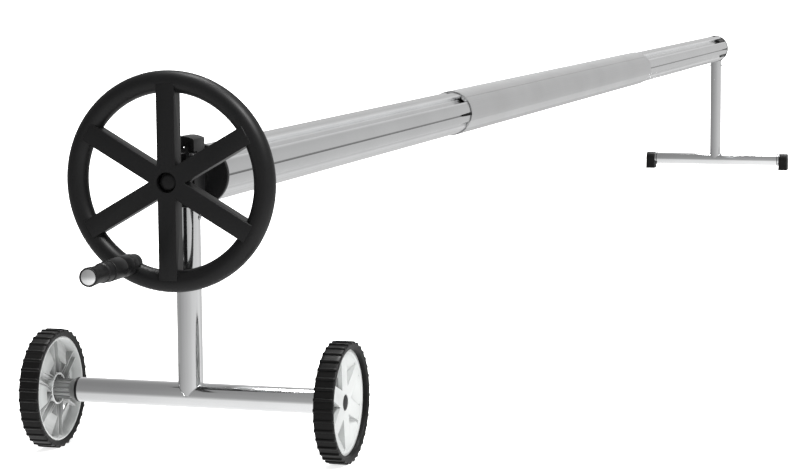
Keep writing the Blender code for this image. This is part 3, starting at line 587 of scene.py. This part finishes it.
def ring_section(outer, inner, low, high, edge=0.0003):
    """A tube's section for turning, its four edges slightly rounded."""
    corners = [(outer, high, edge), (outer, low, edge), (inner, low, edge), (inner, high, edge)]
    return rounded(corners, steps=2)


def make_base_tube(node):
    low, high = span(node, 0)
    at = middle(node)
    radius = half_size(node, 2)
    section = ring_section(radius, radius - WALL, low - at.x, high - at.x)
    show_turned(node, "stainless", section, along_x(at))


def make_post(node, base):
    """A post coped to sit on its base tube, with the fine weld bead round the joint."""
    at = middle(node)
    top = span(node, 2)[1]
    radius = half_size(node, 0)
    base_z = middle(base).z
    base_radius = half_size(base, 2)

    def cope(distance):
        return base_z + math.sqrt(max(base_radius ** 2 - distance ** 2, 0.0))

    edge = 0.0004
    bead = 0.0007
    tube, weld = [], []
    for step in range(FINE):
        angle = math.tau * step / FINE
        out = Vector((math.cos(angle), math.sin(angle), 0.0))
        ring = []
        for r, z in (
            (radius, None), (radius, top - edge), (radius - edge, top),
            (radius - WALL + edge, top), (radius - WALL, top - edge), (radius - WALL, None),
        ):
            height = cope(r * out.y) + FIT if z is None else z
            ring.append(Vector((at.x, at.y, height)) + r * out)
        tube.append(ring)
        foot = Vector((at.x, at.y, cope(radius * out.y))) + radius * out
        weld.append([foot + x * out + y * UP for x, y in arc((0.0, 0.0), bead, 0, 315, 7)])
    show(grid(f"{node}_fine", tube), "stainless", node)

    piece = grid(f"{node}_weld", weld)
    piece.data.materials.append(FINISHES["steel"])
    piece.data.shade_smooth()
    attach(piece, BODY[node])


def make_base_plug(side):
    """The black plug in the base tube's end, bored for the axle."""
    node = f"base_plug_{side}"
    flange = 0.0045
    depth = 0.024
    radius = half_size(node, 2)
    spigot = radius - WALL - FIT
    bore = half_size("axle", 2) + FIT
    end = Vector((outer_end(node, side) - SIDE[side] * flange, *WHEEL[side].yz))
    section = rounded([
        (radius, flange, 0.0008), (radius, FIT, 0.0004), (spigot, FIT), (spigot, -depth, 0.0008),
        (bore, -depth), (bore, flange, 0.0003),
    ], steps=3)
    show_turned(node, "black_plastic", section, along_x(end, SIDE[side]))


def make_foot(side):
    """A rubber foot over the base tube's end, with a rolled mouth and a flat pad."""
    node = f"far_foot_{side}"
    width = 2 * half_size(node, 0)
    tube = middle("far_base_tube")
    radius = 0.0235
    pad_half = half_size(node, 1)
    pad = span(node, 2)[0] - tube.z
    outline = arc((0.0, 0.0), radius, -15, 195, 40)
    outline += rounded([
        outline[-1], (-pad_half, pad + 0.012, 0.004), (-pad_half, pad, 0.0015),
        (pad_half, pad, 0.0015), (pad_half, pad + 0.012, 0.004), outline[0],
    ], closed=False, steps=4)[1:-1]
    at = Vector((outer_end(node, side) - SIDE[side] * width / 2, tube.y, tube.z))
    foot = plate(f"{node}_fine", [outline], width, along_x(at), edge=0.0016)
    wall = 0.0034
    mouth = width / 2
    bore = half_size("far_base_tube", 2) + FIT
    socket = solid("socket", [
        (0.0, -mouth - 0.01), (bore + 0.003, -mouth - 0.01), (bore + 0.0008, -mouth, 0.0006),
        (bore, -mouth + 0.001), (bore, mouth - wall), (0.0, mouth - wall),
    ], along_x(at, SIDE[side]))
    combined(foot, [socket], "DIFFERENCE")
    show(foot, "foot_rubber", node)

    ring = f"far_stop_ring_{side}"
    centre = middle(ring)
    thick = half_size(ring, 0)
    outside = half_size(ring, 2)
    section = rounded([
        (outside, thick, 0.0006), (outside, -thick, 0.0006), (bore, -thick, 0.0003),
        (bore, thick, 0.0003),
    ], steps=3)
    show_turned(ring, "black_plastic", section, along_x(centre))


# ---------------------------------------------------------------- wheels

def wheel_frame(side):
    return along_x(WHEEL[side], SIDE[side])


def make_tyre(side):
    """A ribbed tyre: its section swept round the axle, with the tread's ribs rising from it."""
    node = f"{side}_tyre"
    radius = half_size(node, 2)
    half_width = half_size(node, 0)
    seat = half_size(f"{side}_rim", 2) + FIT
    # (height along the axle, radius, share of the rib's depth that shows there)
    outer_half = (
        (0.0, radius, 1.0), (0.60 * half_width, radius, 1.0),
        (0.90 * half_width, radius - 0.0002, 1.0),
        (0.965 * half_width, radius - 0.0007, 1.0), (0.99 * half_width, radius - 0.0016, 1.0),
        (half_width, radius - 0.0030, 0.9), (half_width, radius - 0.0055, 0.4),
        (0.995 * half_width, radius - 0.0066, 0.0), (0.975 * half_width, radius - 0.0082, 0.0),
        (0.960 * half_width, seat + 0.0030, 0.0), (0.930 * half_width, seat + 0.0016, 0.0),
        (0.895 * half_width, seat + 0.0004, 0.0), (0.86 * half_width, seat, 0.0),
    )
    section = [(-h, r, w) for h, r, w in outer_half[:0:-1]] + list(outer_half)
    rows = []
    for rib in range(TREAD_RIBS):
        for share, rise in RIB_STEPS:
            angle = math.tau * (rib + share) / TREAD_RIBS
            row = []
            for height, r, weight in section:
                reach = r - TREAD_DEPTH * weight * (1.0 - rise)
                row.append((reach * math.cos(angle), reach * math.sin(angle), height))
            rows.append(row)
    tyre = grid(f"{node}_fine", rows, wheel_frame(side))
    return show(tyre, "tyre_rubber", node, crease=50.0)


def make_rim(side):
    """The rim moulding: a hoop, a face with ramped pockets between its spokes, and a ribbed hub."""
    node = f"{side}_rim"
    radius = half_size(node, 2)
    bore = half_size("axle", 2) + FIT
    ring, boss, plate_back, gap_floor = 0.0262, 0.0145, 0.0035, 0.0010
    hoop_back, rib_half, boss_ribs, webs = -0.0145, 0.0072, 12, 18
    boss_end = min(SIDE[side] * (x - WHEEL[side].x) for x in span(node, 0))
    flare = boss_end + 0.0130
    outline = rounded([
        (radius, 0.0080, 0.0006), (radius, hoop_back, 0.0010), (0.0840, hoop_back, 0.0010),
        (0.0818, -0.0030, 0.0030), (0.0812, plate_back, 0.0010), (ring, plate_back, 0.0010),
        (ring, -0.0110, 0.0007), (ring - 0.0024, -0.0110, 0.0007), (ring - 0.0026, gap_floor),
        (boss + 0.001, gap_floor), (boss, flare, 0.0060), (0.0200, boss_end + 0.0011, 0.0010),
        (0.0198, boss_end, 0.0003), (bore, boss_end), (bore, -0.0020), (0.0133, -0.0020),
        (0.0133, FACE, 0.0005), (0.0800, FACE, 0.0010), (0.0818, 0.0080, 0.0006),
    ], steps=3)
    rim = turned(f"{node}_fine", outline, Matrix.Identity(4), 144)

    parts, pockets = [], []
    for index in range(POCKETS):
        around = POCKET_PHASE[side] - math.radians(90) + math.tau * index / POCKETS
        turn = Matrix.Rotation(around, 4, "Z")
        parts.append(wedge("tray", TRAY, 0.0050, turn))
        pockets.append(wedge("pocket", POCKET, 0.0120, turn))
        opening = [(x, half, -0.0200) for x, half, _ in POCKET[:2]]
        pockets.append(wedge("opening", opening, 0.0, turn))
        spoke = Matrix.Rotation(around + math.pi / POCKETS, 4, "Z")
        for offset_y in (-rib_half, rib_half):
            rib = ((0.0250, 0.0008, -0.0105), (0.0835, 0.0008, -0.0085))
            at = spoke @ Matrix.Translation((0.0, offset_y, 0.0))
            parts.append(wedge("rib", rib, 0.0045, at))
    for index in range(webs):
        turn = Matrix.Rotation(math.tau * index / webs, 4, "Z")
        web = ((boss - 0.002, 0.0007, -0.0095), (0.0250, 0.0007, -0.0095))
        parts.append(wedge("web", web, 0.0020, turn))
    for index in range(boss_ribs):
        turn = Matrix.Rotation(math.tau * (index + 0.5) / boss_ribs, 4, "Z")
        parts.append(bar(
            "rib", (boss - 0.003, -0.0011, flare - 0.0030), (boss + 0.0026, 0.0011, 0.0020), turn,
            edge=0.0004, steps=1,
        ))
    combined(rim, parts)
    combined(rim, pockets, "DIFFERENCE")
    tidied(rim)
    rim.data.transform(wheel_frame(side))
    return show(rim, "grey_plastic", node, crease=30.0)


def make_wheel(side):
    """A wheel and its hub cap. The left wheel is kept out of reflections, where it would show as
    a grey patch on the base tube's end."""
    for piece in (make_tyre(side), make_rim(side)):
        piece.visible_glossy = side == "right"
    radius = half_size(f"{side}_hub_cap", 2)
    cap = rounded([
        (0.0, 0.0044), (radius, 0.0044, 0.0002), (radius, 0.0056, 0.0004),
        (0.0112, 0.0064, 0.0010), (0.0060, 0.0069), (0.0, 0.0070),
    ], closed=False, steps=3)
    show_turned(f"{side}_hub_cap", "black_plastic", cap, wheel_frame(side))


# ---------------------------------------------------------------- bearings

def make_spigot(node, post, at):
    """The round plug below a bearing block, which stands in its post."""
    radius = half_size(post, 0) - WALL - FIT
    low = span(node, 2)[0]
    top = span(post, 2)[1] + 0.004
    section = [(0.0, low), (radius, low, 0.001), (radius, top), (0.0, top)]
    return solid(f"{node}_spigot", section, Matrix.Translation((at.x, at.y, 0.0)))


def make_near_bearing():
    """The open saddle, its bush, and the hinged keeper that closes over the shaft."""
    node = "near_saddle"
    half = half_size("keeper", 0)
    front, back = span("keeper", 1)
    bottom = span("near_post", 2)[1] + FIT
    knuckle = 0.0040
    depth = back - front
    at = Vector((0.0, (front + back) / 2, 0.0))
    left_top = REEL.z + 0.038
    outline = [(-half, bottom), (half, bottom), (half, KEEPER_PIN.z)]
    outline += arc((KEEPER_PIN.x, KEEPER_PIN.z), knuckle, 15, 165, 10)
    outline.append((SADDLE_BORE, KEEPER_PIN.z - 0.001))
    outline += arc((0.0, REEL.z), SADDLE_BORE, 0, -180, 36)
    outline += rounded([
        (-SADDLE_BORE, REEL.z), (-SADDLE_BORE, left_top, 0.0008), (-half, left_top, 0.0008),
        (-half, bottom),
    ], closed=False)[1:-1]
    saddle = plate(f"{node}_fine", [outline], depth, section_xz(at), edge=0.0005)
    combined(saddle, [make_spigot(node, "near_post", REEL)])
    reach = 0.0004
    front_knuckle, back_knuckle = REEL.y - 0.006, REEL.y + 0.014
    notch = bar(
        "notch",
        (SADDLE_BORE - 0.002, front_knuckle - reach, KEEPER_PIN.z - knuckle - reach),
        (half + 0.002, back_knuckle + reach, KEEPER_PIN.z + 2 * knuckle),
        Matrix.Identity(4), edge=0.0,
    )
    combined(saddle, [notch], "DIFFERENCE")
    pin = along_y(KEEPER_PIN)
    combined(saddle, [cylinder("hole", PIN_BORE, -depth, depth, pin)], "DIFFERENCE")
    show(tidied(saddle), "black_plastic", node)

    foot = KEEPER_PIN.z + knuckle + 2 * reach
    crown = span("keeper", 2)[1]
    shoulder = KEEPER_PIN.z + 0.0250
    rise = crown - shoulder
    bow = (half ** 2 + rise ** 2) / (2 * rise)
    lean = math.degrees(math.asin((half - 0.002) / bow))
    under = KEEPER_PIN.z + 0.0125
    outline = rounded([
        (-half, foot, 0.0005), (-0.0168, foot, 0.0005), (-0.0168, under, 0.0012),
        (0.0090, under, 0.0012), (0.0090, foot, 0.0005), (half, foot, 0.0005),
        (half, shoulder, 0.0015), (half - 0.002, shoulder + 0.0008),
    ])
    outline = outline[:-1] + arc((0.0, crown - bow), bow, 90 - lean, 90 + lean, 16)
    outline += arc((-half + 0.0015, shoulder - 0.0015), 0.0015, 100, 180, 3)
    keeper = plate("keeper_fine", [outline], depth, section_xz(at), edge=0.0008)
    lug_outline = [(knuckle, 0.0), (knuckle, knuckle + 0.003), (-knuckle, knuckle + 0.003)]
    lug_outline += arc((0.0, 0.0), knuckle, 180, 350, 16)
    lug_at = Vector((KEEPER_PIN.x, (front_knuckle + back_knuckle) / 2, KEEPER_PIN.z))
    lug = plate("lug", [lug_outline], back_knuckle - front_knuckle, section_xz(lug_at))
    combined(keeper, [lug])
    combined(keeper, [cylinder("eye", PIN_BORE, -depth, depth, pin)], "DIFFERENCE")
    show(tidied(keeper), "black_plastic", "keeper")
    make_bush("near_bush", front, back)


def make_bush(node, front, back):
    """A flanged nylon bush in its bearing block."""
    at = middle(node)
    low, high = span(node, 1)
    bore = half_size("near_shaft", 0) + FIT
    body = 0.0125
    flange = half_size(node, 0)
    start, end = low - at.y, high - at.y
    front, back = front - FIT - at.y, back + FIT - at.y
    section = rounded([
        (flange, end, 0.0004), (flange, back, 0.0002), (body, back), (body, front),
        (flange, front, 0.0002), (flange, start, 0.0004), (bore, start, 0.0003), (bore, end, 0.0003),
    ], steps=3)
    show_turned(node, "nylon", section, along_y(at))


def make_far_bearing():
    """The closed block round the far shaft, and its bush."""
    node = "far_bearing_block"
    half = half_size(node, 0)
    front, back = span(node, 1)
    bottom = span("far_post", 2)[1] + FIT
    crown = span(node, 2)[1] - half
    at = Vector((FAR_END.x, (front + back) / 2, 0.0))
    outline = [(-half, bottom), (half, bottom)] + arc((0.0, crown), half, 0, 180, 32)
    hole = arc((0.0, FAR_END.z), SADDLE_BORE, 0, 352.5, 47)
    block = plate(f"{node}_fine", [outline, hole], back - front, section_xz(at), edge=0.0008)
    combined(block, [make_spigot(node, "far_post", FAR_END)])
    show(tidied(block), "black_plastic", node)
    make_bush("far_bush", front, back)


# ---------------------------------------------------------------- handwheel and crank

def make_handwheel():
    """The moulded handwheel: a round rim, six flat spokes, a hub and the crank's lug."""
    node = "handwheel"
    outer = half_size(node, 0)
    hub_back, rim_y, spoke_back = -0.038, -0.0716, -0.062
    at = along_y(REEL)
    rim = arc((outer - RIM_SECTION, rim_y), RIM_SECTION, 0, 350, 35)
    wheel = turned(f"{node}_fine", rim, at, 160)

    hub_radius = 0.026
    parts = [solid("hub", [
        (0.0, hub_back), (hub_radius - 0.001, hub_back, 0.0015), (hub_radius, FACE_PLANE + 0.004),
        (hub_radius, FACE_PLANE), (0.0, FACE_PLANE),
    ], at)]
    for index in range(SPOKES // 2):
        turn = Matrix.Rotation(math.radians(30 + 60 * index), 4, "Z")
        low = (-SPOKE_REACH, -SPOKE_WIDTH / 2, FACE_PLANE)
        high = (SPOKE_REACH, SPOKE_WIDTH / 2, spoke_back)
        parts.append(bar("spoke", low, high, at @ turn, edge=0.0011))
    crank = along_y(Vector((CRANK.x, REEL.y, CRANK.z)))
    lug_radius, lug_back, lug_front = 0.0150, -0.0700, FACE_PLANE + 0.0005
    lug = rounded([
        (0.0, lug_back), (lug_radius, lug_back, 0.0020), (lug_radius, lug_front, 0.0008),
        (0.0, lug_front),
    ], closed=False)
    parts.append(turned("lug", lug, crank, MEDIUM))
    combined(wheel, parts)

    recess_radius, floor = 0.0166, -0.0740
    recess = solid("recess", [
        (0.0, -0.12), (0.0220, -0.12), (recess_radius, FACE_PLANE, 0.0018),
        (recess_radius, floor, 0.0008), (0.0, floor),
    ], at, corner_steps=5)
    bores = [
        cylinder("stud", STUD_RADIUS + FIT, -0.12, 0.0, at),
        cylinder("bore", SHAFT_BORE, -0.0683, 0.0, at),
        cylinder("spindle", SPINDLE_BORE, -0.2, 0.0, crank),
        cylinder("pocket", 0.0100, -0.0765, 0.0, crank),
    ]
    combined(wheel, [recess, *bores], "DIFFERENCE")
    show(tidied(wheel), "black_plastic", node, crease=28.0)

    inside, outside = 0.0102, 0.0138
    back = floor - FIT
    cap = rounded([
        (0.0, -0.0824), (inside, -0.0824), (inside, back), (outside, back, 0.0002),
        (outside, -0.0822, 0.0012), (0.0100, -0.0842, 0.0100), (0.0, -0.0848),
    ], closed=False, steps=5)
    show_turned("hub_cap", "black_plastic", cap, at)

    end, shoulder, tip = 0.1100, -0.068, -0.0815
    shaft = rounded([
        (0.0, end), (SHAFT_RADIUS, end, 0.0010), (SHAFT_RADIUS, shoulder, 0.0003),
        (STUD_RADIUS, shoulder), (STUD_RADIUS, tip, 0.0008), (0.0, tip),
    ], closed=False)
    show_turned("near_shaft", "steel", shaft, at, MEDIUM)


def make_crank():
    """The crank's fixed collar, the grip that turns past it, and the grip's bright end cap."""
    at = along_y(Vector((CRANK.x, REEL.y, CRANK.z)))
    low, high = span("crank_collar", 1)
    front, end = high - REEL.y, low - REEL.y
    radius = half_size("crank_collar", 0)
    groove = -0.1065
    collar = rounded([
        (0.0170, front, 0.0010), (0.0170, groove + 0.0016, 0.0008), (0.0158, groove, 0.0004),
        (radius, groove - 0.0016, 0.0010), (radius, -0.1330), (radius - 0.0005, -0.1345),
        (radius, -0.1360), (radius, end, 0.0016), (SPINDLE_BORE, end), (SPINDLE_BORE, front),
    ], steps=4)
    show_turned("crank_collar", "black_plastic", collar, at)

    end, start = (y - REEL.y for y in span("grip", 1))
    cap_front, cap_back = (y - REEL.y for y in span("grip_cap", 1))
    cap_radius = half_size("grip_cap", 0)
    seat, core, core_end = cap_back + FIT, 0.0085, -0.2415
    grip = rounded([
        (0.0165, start, 0.0010), (0.0163, -0.2005, 0.0012), (0.0146, -0.2035, 0.0015),
        (0.0143, -0.2200, 0.0400), (0.0150, -0.2380, 0.0400), (0.0157, -0.2490, 0.0060),
        (0.0148, end, 0.0012), (cap_radius + FIT, end, 0.0002), (cap_radius + FIT, seat),
        (core, seat), (core, core_end), (SPINDLE_BORE, core_end), (SPINDLE_BORE, start),
    ], steps=4)
    show_turned("grip", "black_plastic", grip, at)

    dome = 0.0026
    cap = rounded([
        (0.0, cap_back), (cap_radius, cap_back, 0.0002), (cap_radius, cap_front + dome),
    ], closed=False)
    cap += [(cap_radius * k / 12, cap_front + dome * (k / 12) ** 2) for k in range(11, -1, -1)]
    show_turned("grip_cap", "chrome", cap, at)


# ---------------------------------------------------------------- telescoping tubes

def polar(angle, radius):
    return (radius * math.cos(math.radians(angle)), radius * math.sin(math.radians(angle)))


def clear_of_grooves(angle, margin):
    gaps = [(centre, half + margin) for centre, half, _, _ in GROOVES]
    return all(abs((angle - centre + 180) % 360 - 180) > half for centre, half in gaps)


def fluted_section(radius, slot=False, shrink=0.0, move=0.0):
    """The end tube's outline from +X round through +Z, moved outwards by a distance. The deep
    groove can be made shallower, for the bore of the tube outside it."""
    points = [
        (angle, [polar(angle, radius)])
        for angle in range(3, 360, 3)
        if clear_of_grooves(angle, 2.5)
    ]
    for centre, half, depth, section in GROOVES:
        deep = depth - shrink if section is DEEP else depth
        corners = [
            (*polar(centre + across * half, radius - down * deep), corner)
            for across, down, corner in section
        ]
        points.append((centre, corners))
    points.sort(key=lambda item: item[0])
    outline = [polar(0.0, radius)]
    if slot:
        half = math.degrees(SLOT_HALF / radius)
        floor = radius - SLOT_DEPTH
        outline = [
            (*polar(-half, radius), 0.0002), polar(-half, floor), polar(half, floor),
            (*polar(half, radius), 0.0002),
        ]
    outline += [point for _, corners in points for point in corners]
    return rounded(offset(outline, move) if move else outline)


def offset(points, distance):
    """A closed outline moved outwards, or inwards if the distance is negative."""
    moved = []
    count = len(points)
    for index, point in enumerate(points):
        before, here, after = (Vector(points[(index + k) % count][:2]) for k in (-1, 0, 1))
        first, second = (here - before).normalized(), (after - here).normalized()
        normal = Vector((first.y + second.y, -first.x - second.x)).normalized()
        reach = distance / normal.dot(Vector((first.y, -first.x)))
        corner = point[2] if len(point) > 2 else 0.0
        if corner:
            turn = first.x * second.y - first.y * second.x
            corner = max(corner + math.copysign(1.0, turn) * distance, 0.0003)
        moved.append((*(here + normal * reach), corner))
    return moved


def make_end_tube(node):
    low, high = span(node, 1)
    outer = fluted_section(TUBE_RADIUS, slot=True)
    inner = fluted_section(TUBE_RADIUS, move=-TUBE_WALL)
    place = section_xz(on_reel((low + high) / 2))
    tube = plate(f"{node}_fine", [outer, inner], high - low, place)
    show(tube, "fluted_aluminium", node, crease=30.0)


def make_middle_tube():
    """The outer tube: round with one flat and a fine witness line, its bore keyed to the grooves."""
    node = "middle_tube"
    low, high = span(node, 1)
    radius = half_size(node, 0)
    start, end = MIDDLE_FLAT
    plain = [
        (angle, polar(angle, radius)) for angle in range(0, 360, 3)
        if not start - 2 < angle < end + 2 and abs(angle - WITNESS_ANGLE) > 2
    ]
    corners = [(start, (*polar(start, radius), 0.004)), (end, (*polar(end, radius), 0.004))]
    line = [
        (WITNESS_ANGLE - 0.8, polar(WITNESS_ANGLE - 0.8, radius)),
        (WITNESS_ANGLE, polar(WITNESS_ANGLE, radius - 0.0007)),
        (WITNESS_ANGLE + 0.8, polar(WITNESS_ANGLE + 0.8, radius)),
    ]
    outline = rounded([point for _, point in sorted(plain + corners + line)])
    bore = fluted_section(TUBE_RADIUS, shrink=TONGUE_GAP, move=SLIDE)
    place = section_xz(on_reel((low + high) / 2))
    tube = plate(f"{node}_fine", [outline, bore], high - low, place)
    show(tube, "satin_aluminium", node, crease=30.0)


def make_tube_plug(node, tube, flange_is_first):
    """The black plug in an end tube: a flange outside, a fluted spigot inside, a bore through."""
    low, high = span(node, 1)
    tube_low, tube_high = span(tube, 1)
    radius = half_size(node, 0)
    if flange_is_first:
        flange = (low, tube_low - 0.0005)
        spigot = (tube_low - 0.002, high)
    else:
        flange = (tube_high + 0.0004, high)
        spigot = (low, tube_high + 0.002)
    at = along_y(on_reel(0.0))
    front, back = flange
    plug = solid(f"{node}_fine", [
        (0.0, front), (radius, front, 0.0016), (radius, back, 0.0008), (0.0, back),
    ], at)
    inner = fluted_section(TUBE_RADIUS, move=-TUBE_WALL - 0.0004)
    start, end = spigot
    parts = [plate("spigot", [inner], end - start, section_xz(on_reel((start + end) / 2)))]
    if not flange_is_first:
        parts += make_groove_tongues(tube_high)
    combined(plug, parts)
    combined(plug, [cylinder("hole", SHAFT_BORE, low - 0.01, high + 0.01, at)], "DIFFERENCE")
    show(tidied(plug), "black_plastic", node)


def make_groove_tongues(tube_end):
    """The far plug's tongues, which lie in the tube's deep groove and a lower groove, and a thin
    black strip over its slot, put there as painted shade at the slot's mouth.
    """
    length, top, floor = 0.110, 0.0474, 0.0385
    deep = rounded([
        (*polar(38.5, top), 0.001), (*polar(39.5, floor), 0.002), (*polar(52.5, floor), 0.002),
        (*polar(53.5, top), 0.001),
    ])
    low = [polar(322.5, top), polar(329.0, 0.0452), polar(335.5, top)]
    place = section_xz(on_reel(tube_end + 0.002 - length / 2))
    tongues = [plate("tongue", [outline], length, place) for outline in (deep, low)]
    # Painted shade: a thin black strip laid on the tube over the slot, where the slot's mouth is in shade
    key = wedge(
        "key", ((0.0, 0.0012, 0.0), (length, 0.0034, 0.0)), 0.0010,
        axes(ALONG, UP, ACROSS, (REEL.x + TUBE_RADIUS + 0.0001, tube_end + 0.002 - length, REEL.z)),
    )
    return tongues + [key]


def make_far_shaft():
    """The far shaft, with a threaded end for its nut."""
    node = "far_shaft"
    low, high = span(node, 1)
    shoulder = high - 0.0100
    outline = rounded([
        (0.0, high), (STUD_RADIUS, high, 0.0008), (STUD_RADIUS, shoulder),
        (SHAFT_RADIUS, shoulder, 0.0005), (SHAFT_RADIUS, low, 0.0010), (0.0, low),
    ], closed=False)
    show_turned(node, "steel", outline, along_y(on_reel(0.0)), MEDIUM)


# ---------------------------------------------------------------- screws

def make_screw(node, axis_point, seat, head, shank):
    """A pan-head screw pointing at an axis, with a hexagon socket in its head."""
    at = middle(node)
    out = (at - axis_point).normalized()
    side = out.cross(ALONG).normalized()
    place = axes(side, out.cross(side), out, axis_point)
    reach = max((corner - axis_point).dot(out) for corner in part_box(node))
    tip = seat - 2 * abs((at - axis_point).dot(out) - seat)
    tip = min(tip, reach)
    height = 0.45 * head
    section = rounded([
        (0.0, seat + height), (0.62 * head, seat + height, 0.5 * head),
        (head, seat + 0.25 * height, 0.0003), (head, seat, 0.0002), (shank, seat),
        (shank, tip, 0.0004), (0.0, tip),
    ], closed=False, steps=4)
    screw = turned(f"{node}_fine", section, place, MEDIUM)
    socket = plate(
        "socket", [arc((0.0, 0.0), 0.42 * head, 0, 300, 5)], 1.2 * height,
        place @ Matrix.Translation((0, 0, seat + height)),
    )
    combined(screw, [socket], "DIFFERENCE")
    show(tidied(screw), "steel", node)


def make_screws():
    for node, post in (("near_saddle", "near_post"), ("far_bearing_block", "far_post")):
        for side in SIDE:
            screw = f"{node}_screw_{side}"
            centre = middle(post)
            axis_point = Vector((centre.x, centre.y, middle(screw).z))
            make_screw(screw, axis_point, half_size(post, 0) + FIT, 0.0045, 0.0020)
    for prefix, seat, head, shank in (
        ("near_plug", 0.0485, 0.0042, 0.0017), ("far_plug", 0.0485, 0.0042, 0.0017),
        ("near_clamp", 0.0510, 0.0060, 0.0025), ("far_clamp", 0.0510, 0.0060, 0.0025),
    ):
        for label in "ab":
            screw = f"{prefix}_screw_{label}"
            make_screw(screw, on_reel(middle(screw).y), seat, head, shank)


# ---------------------------------------------------------------- stage

def make_floor():
    """A pale floor under soft light. Metal mirrors the graded surround below the horizon instead,
    so the floor is hidden from glossy reflections."""
    bm = bmesh.new()
    bmesh.ops.create_grid(bm, x_segments=1, y_segments=1, size=60.0)
    floor = shape("floor", bm)
    floor.location.z = cad_box[0].z - 0.0002
    material = bpy.data.materials.new("floor")
    nodes = Nodes(material)
    nodes.feed(nodes.tree.nodes["Principled BSDF"], {
        "Base Color": (0.90, 0.90, 0.90, 1.0), "Roughness": 0.9, "Specular IOR Level": 0.1,
        "Emission Color": (1.0, 1.0, 1.0, 1.0), "Emission Strength": 0.78,
    })
    floor.data.materials.append(material)
    floor.visible_glossy = False
    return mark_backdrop(floor)


def make_light(name, direction, energy, width):
    """A distant soft light shining from a direction, as wide as an angle in degrees."""
    data = bpy.data.lights.new(name, "SUN")
    data.energy = energy
    data.angle = math.radians(width)
    light = bpy.data.objects.new(name, data)
    light.rotation_euler = Vector(direction).to_track_quat("Z", "Y").to_euler()
    bpy.context.scene.collection.objects.link(light)


def make_world():
    """A white surround, which lights and reflects as a softly graded studio: sideways by
    backwards by upwards, and a plainer screen straight ahead."""
    world = bpy.data.worlds.new("studio")
    bpy.context.scene.world = world
    nodes = Nodes(world)
    split = nodes.split(nodes.new("TexCoord").outputs["Generated"])

    def ramp(axis, stops):
        """Brightness against the direction's X, Y or Z, from -1 to 1."""
        value = nodes.spread(split[axis], start=-1.0, end=1.0)
        return nodes.ramp(value, [((at + 1) / 2, grey) for at, grey in stops], "EASE")

    sideways = ramp("X", ((-1.0, 0.60), (-0.68, 0.75), (-0.3, 0.87), (0.3, 1.03), (0.75, 1.24),
                          (1.0, 1.3)))
    backwards = ramp("Y", ((-1.0, 0.85), (0.0, 0.87), (0.5, 0.97), (1.0, 1.0)))
    upwards = ramp("Z", ((-1.0, 1.35), (-0.45, 1.28), (-0.2, 0.80), (-0.08, 0.60), (0.05, 0.53),
                         (0.3, 0.50), (0.8, 0.44), (1.0, 0.40)))
    graded = nodes.times(nodes.times(sideways, backwards), upwards)
    ahead = ramp("Z", ((-1.0, 1.1), (-0.6, 1.0), (-0.35, 0.78), (-0.15, 0.70), (0.05, 0.69),
                       (0.25, 0.63), (1.0, 0.62)))
    screen = ramp("Y", ((-1.0, 0.0), (0.5, 0.0), (0.88, 1.0), (1.0, 1.0)))
    studio = nodes.tree.nodes["Background"]
    nodes.feed(studio, {"Color": nodes.blend(screen, graded, ahead)})
    white = nodes.new("Background", {"Color": (1.0, 1.0, 1.0, 1.0)})
    seen = nodes.new("LightPath").outputs["Is Camera Ray"]
    mix = nodes.new("MixShader", {0: seen, 1: studio.outputs[0], 2: white.outputs[0]})
    nodes.feed(nodes.tree.nodes["World Output"], {"Surface": mix.outputs[0]})


def make_camera():
    data = bpy.data.cameras.new("camera")
    data.lens = LENS
    data.sensor_width = 36.0
    data.clip_end = 400.0
    camera = bpy.data.objects.new("camera", data)
    yaw = Matrix.Rotation(math.radians(CAMERA_YAW), 4, "Z")
    tilt = Matrix.Rotation(math.radians(90.0 - CAMERA_PITCH), 4, "X")
    roll = Matrix.Rotation(math.radians(CAMERA_ROLL), 4, "Z")
    camera.matrix_world = Matrix.Translation(CAMERA_PLACE) @ yaw @ tilt @ roll
    bpy.context.scene.collection.objects.link(camera)
    bpy.context.scene.camera = camera


# ---------------------------------------------------------------- the reel

def make_reel():
    make_base_tube("near_base_tube")
    make_post("near_post", "near_base_tube")
    make_base_tube("far_base_tube")
    make_post("far_post", "far_base_tube")
    for side in SIDE:
        make_base_plug(side)
        make_foot(side)
        make_wheel(side)
    make_near_bearing()
    make_far_bearing()
    make_handwheel()
    make_crank()
    make_end_tube("near_tube")
    make_end_tube("far_tube")
    make_middle_tube()
    make_tube_plug("near_tube_plug", "near_tube", True)
    make_tube_plug("far_tube_plug", "far_tube", False)
    make_far_shaft()
    make_screws()
    for finish, nodes in PLAIN.items():
        for node in nodes:
            part = frame["nodes"][node]
            part.data.materials.clear()
            part.data.materials.append(FINISHES[finish])


make_camera()
make_reel()
make_floor()
make_world()
make_light("key", (0.58, -0.25, 0.77), 3.6, 18)
make_light("top", (-0.05, 0.25, 0.97), 2.4, 20)
bpy.context.scene.view_settings.view_transform = "Standard"
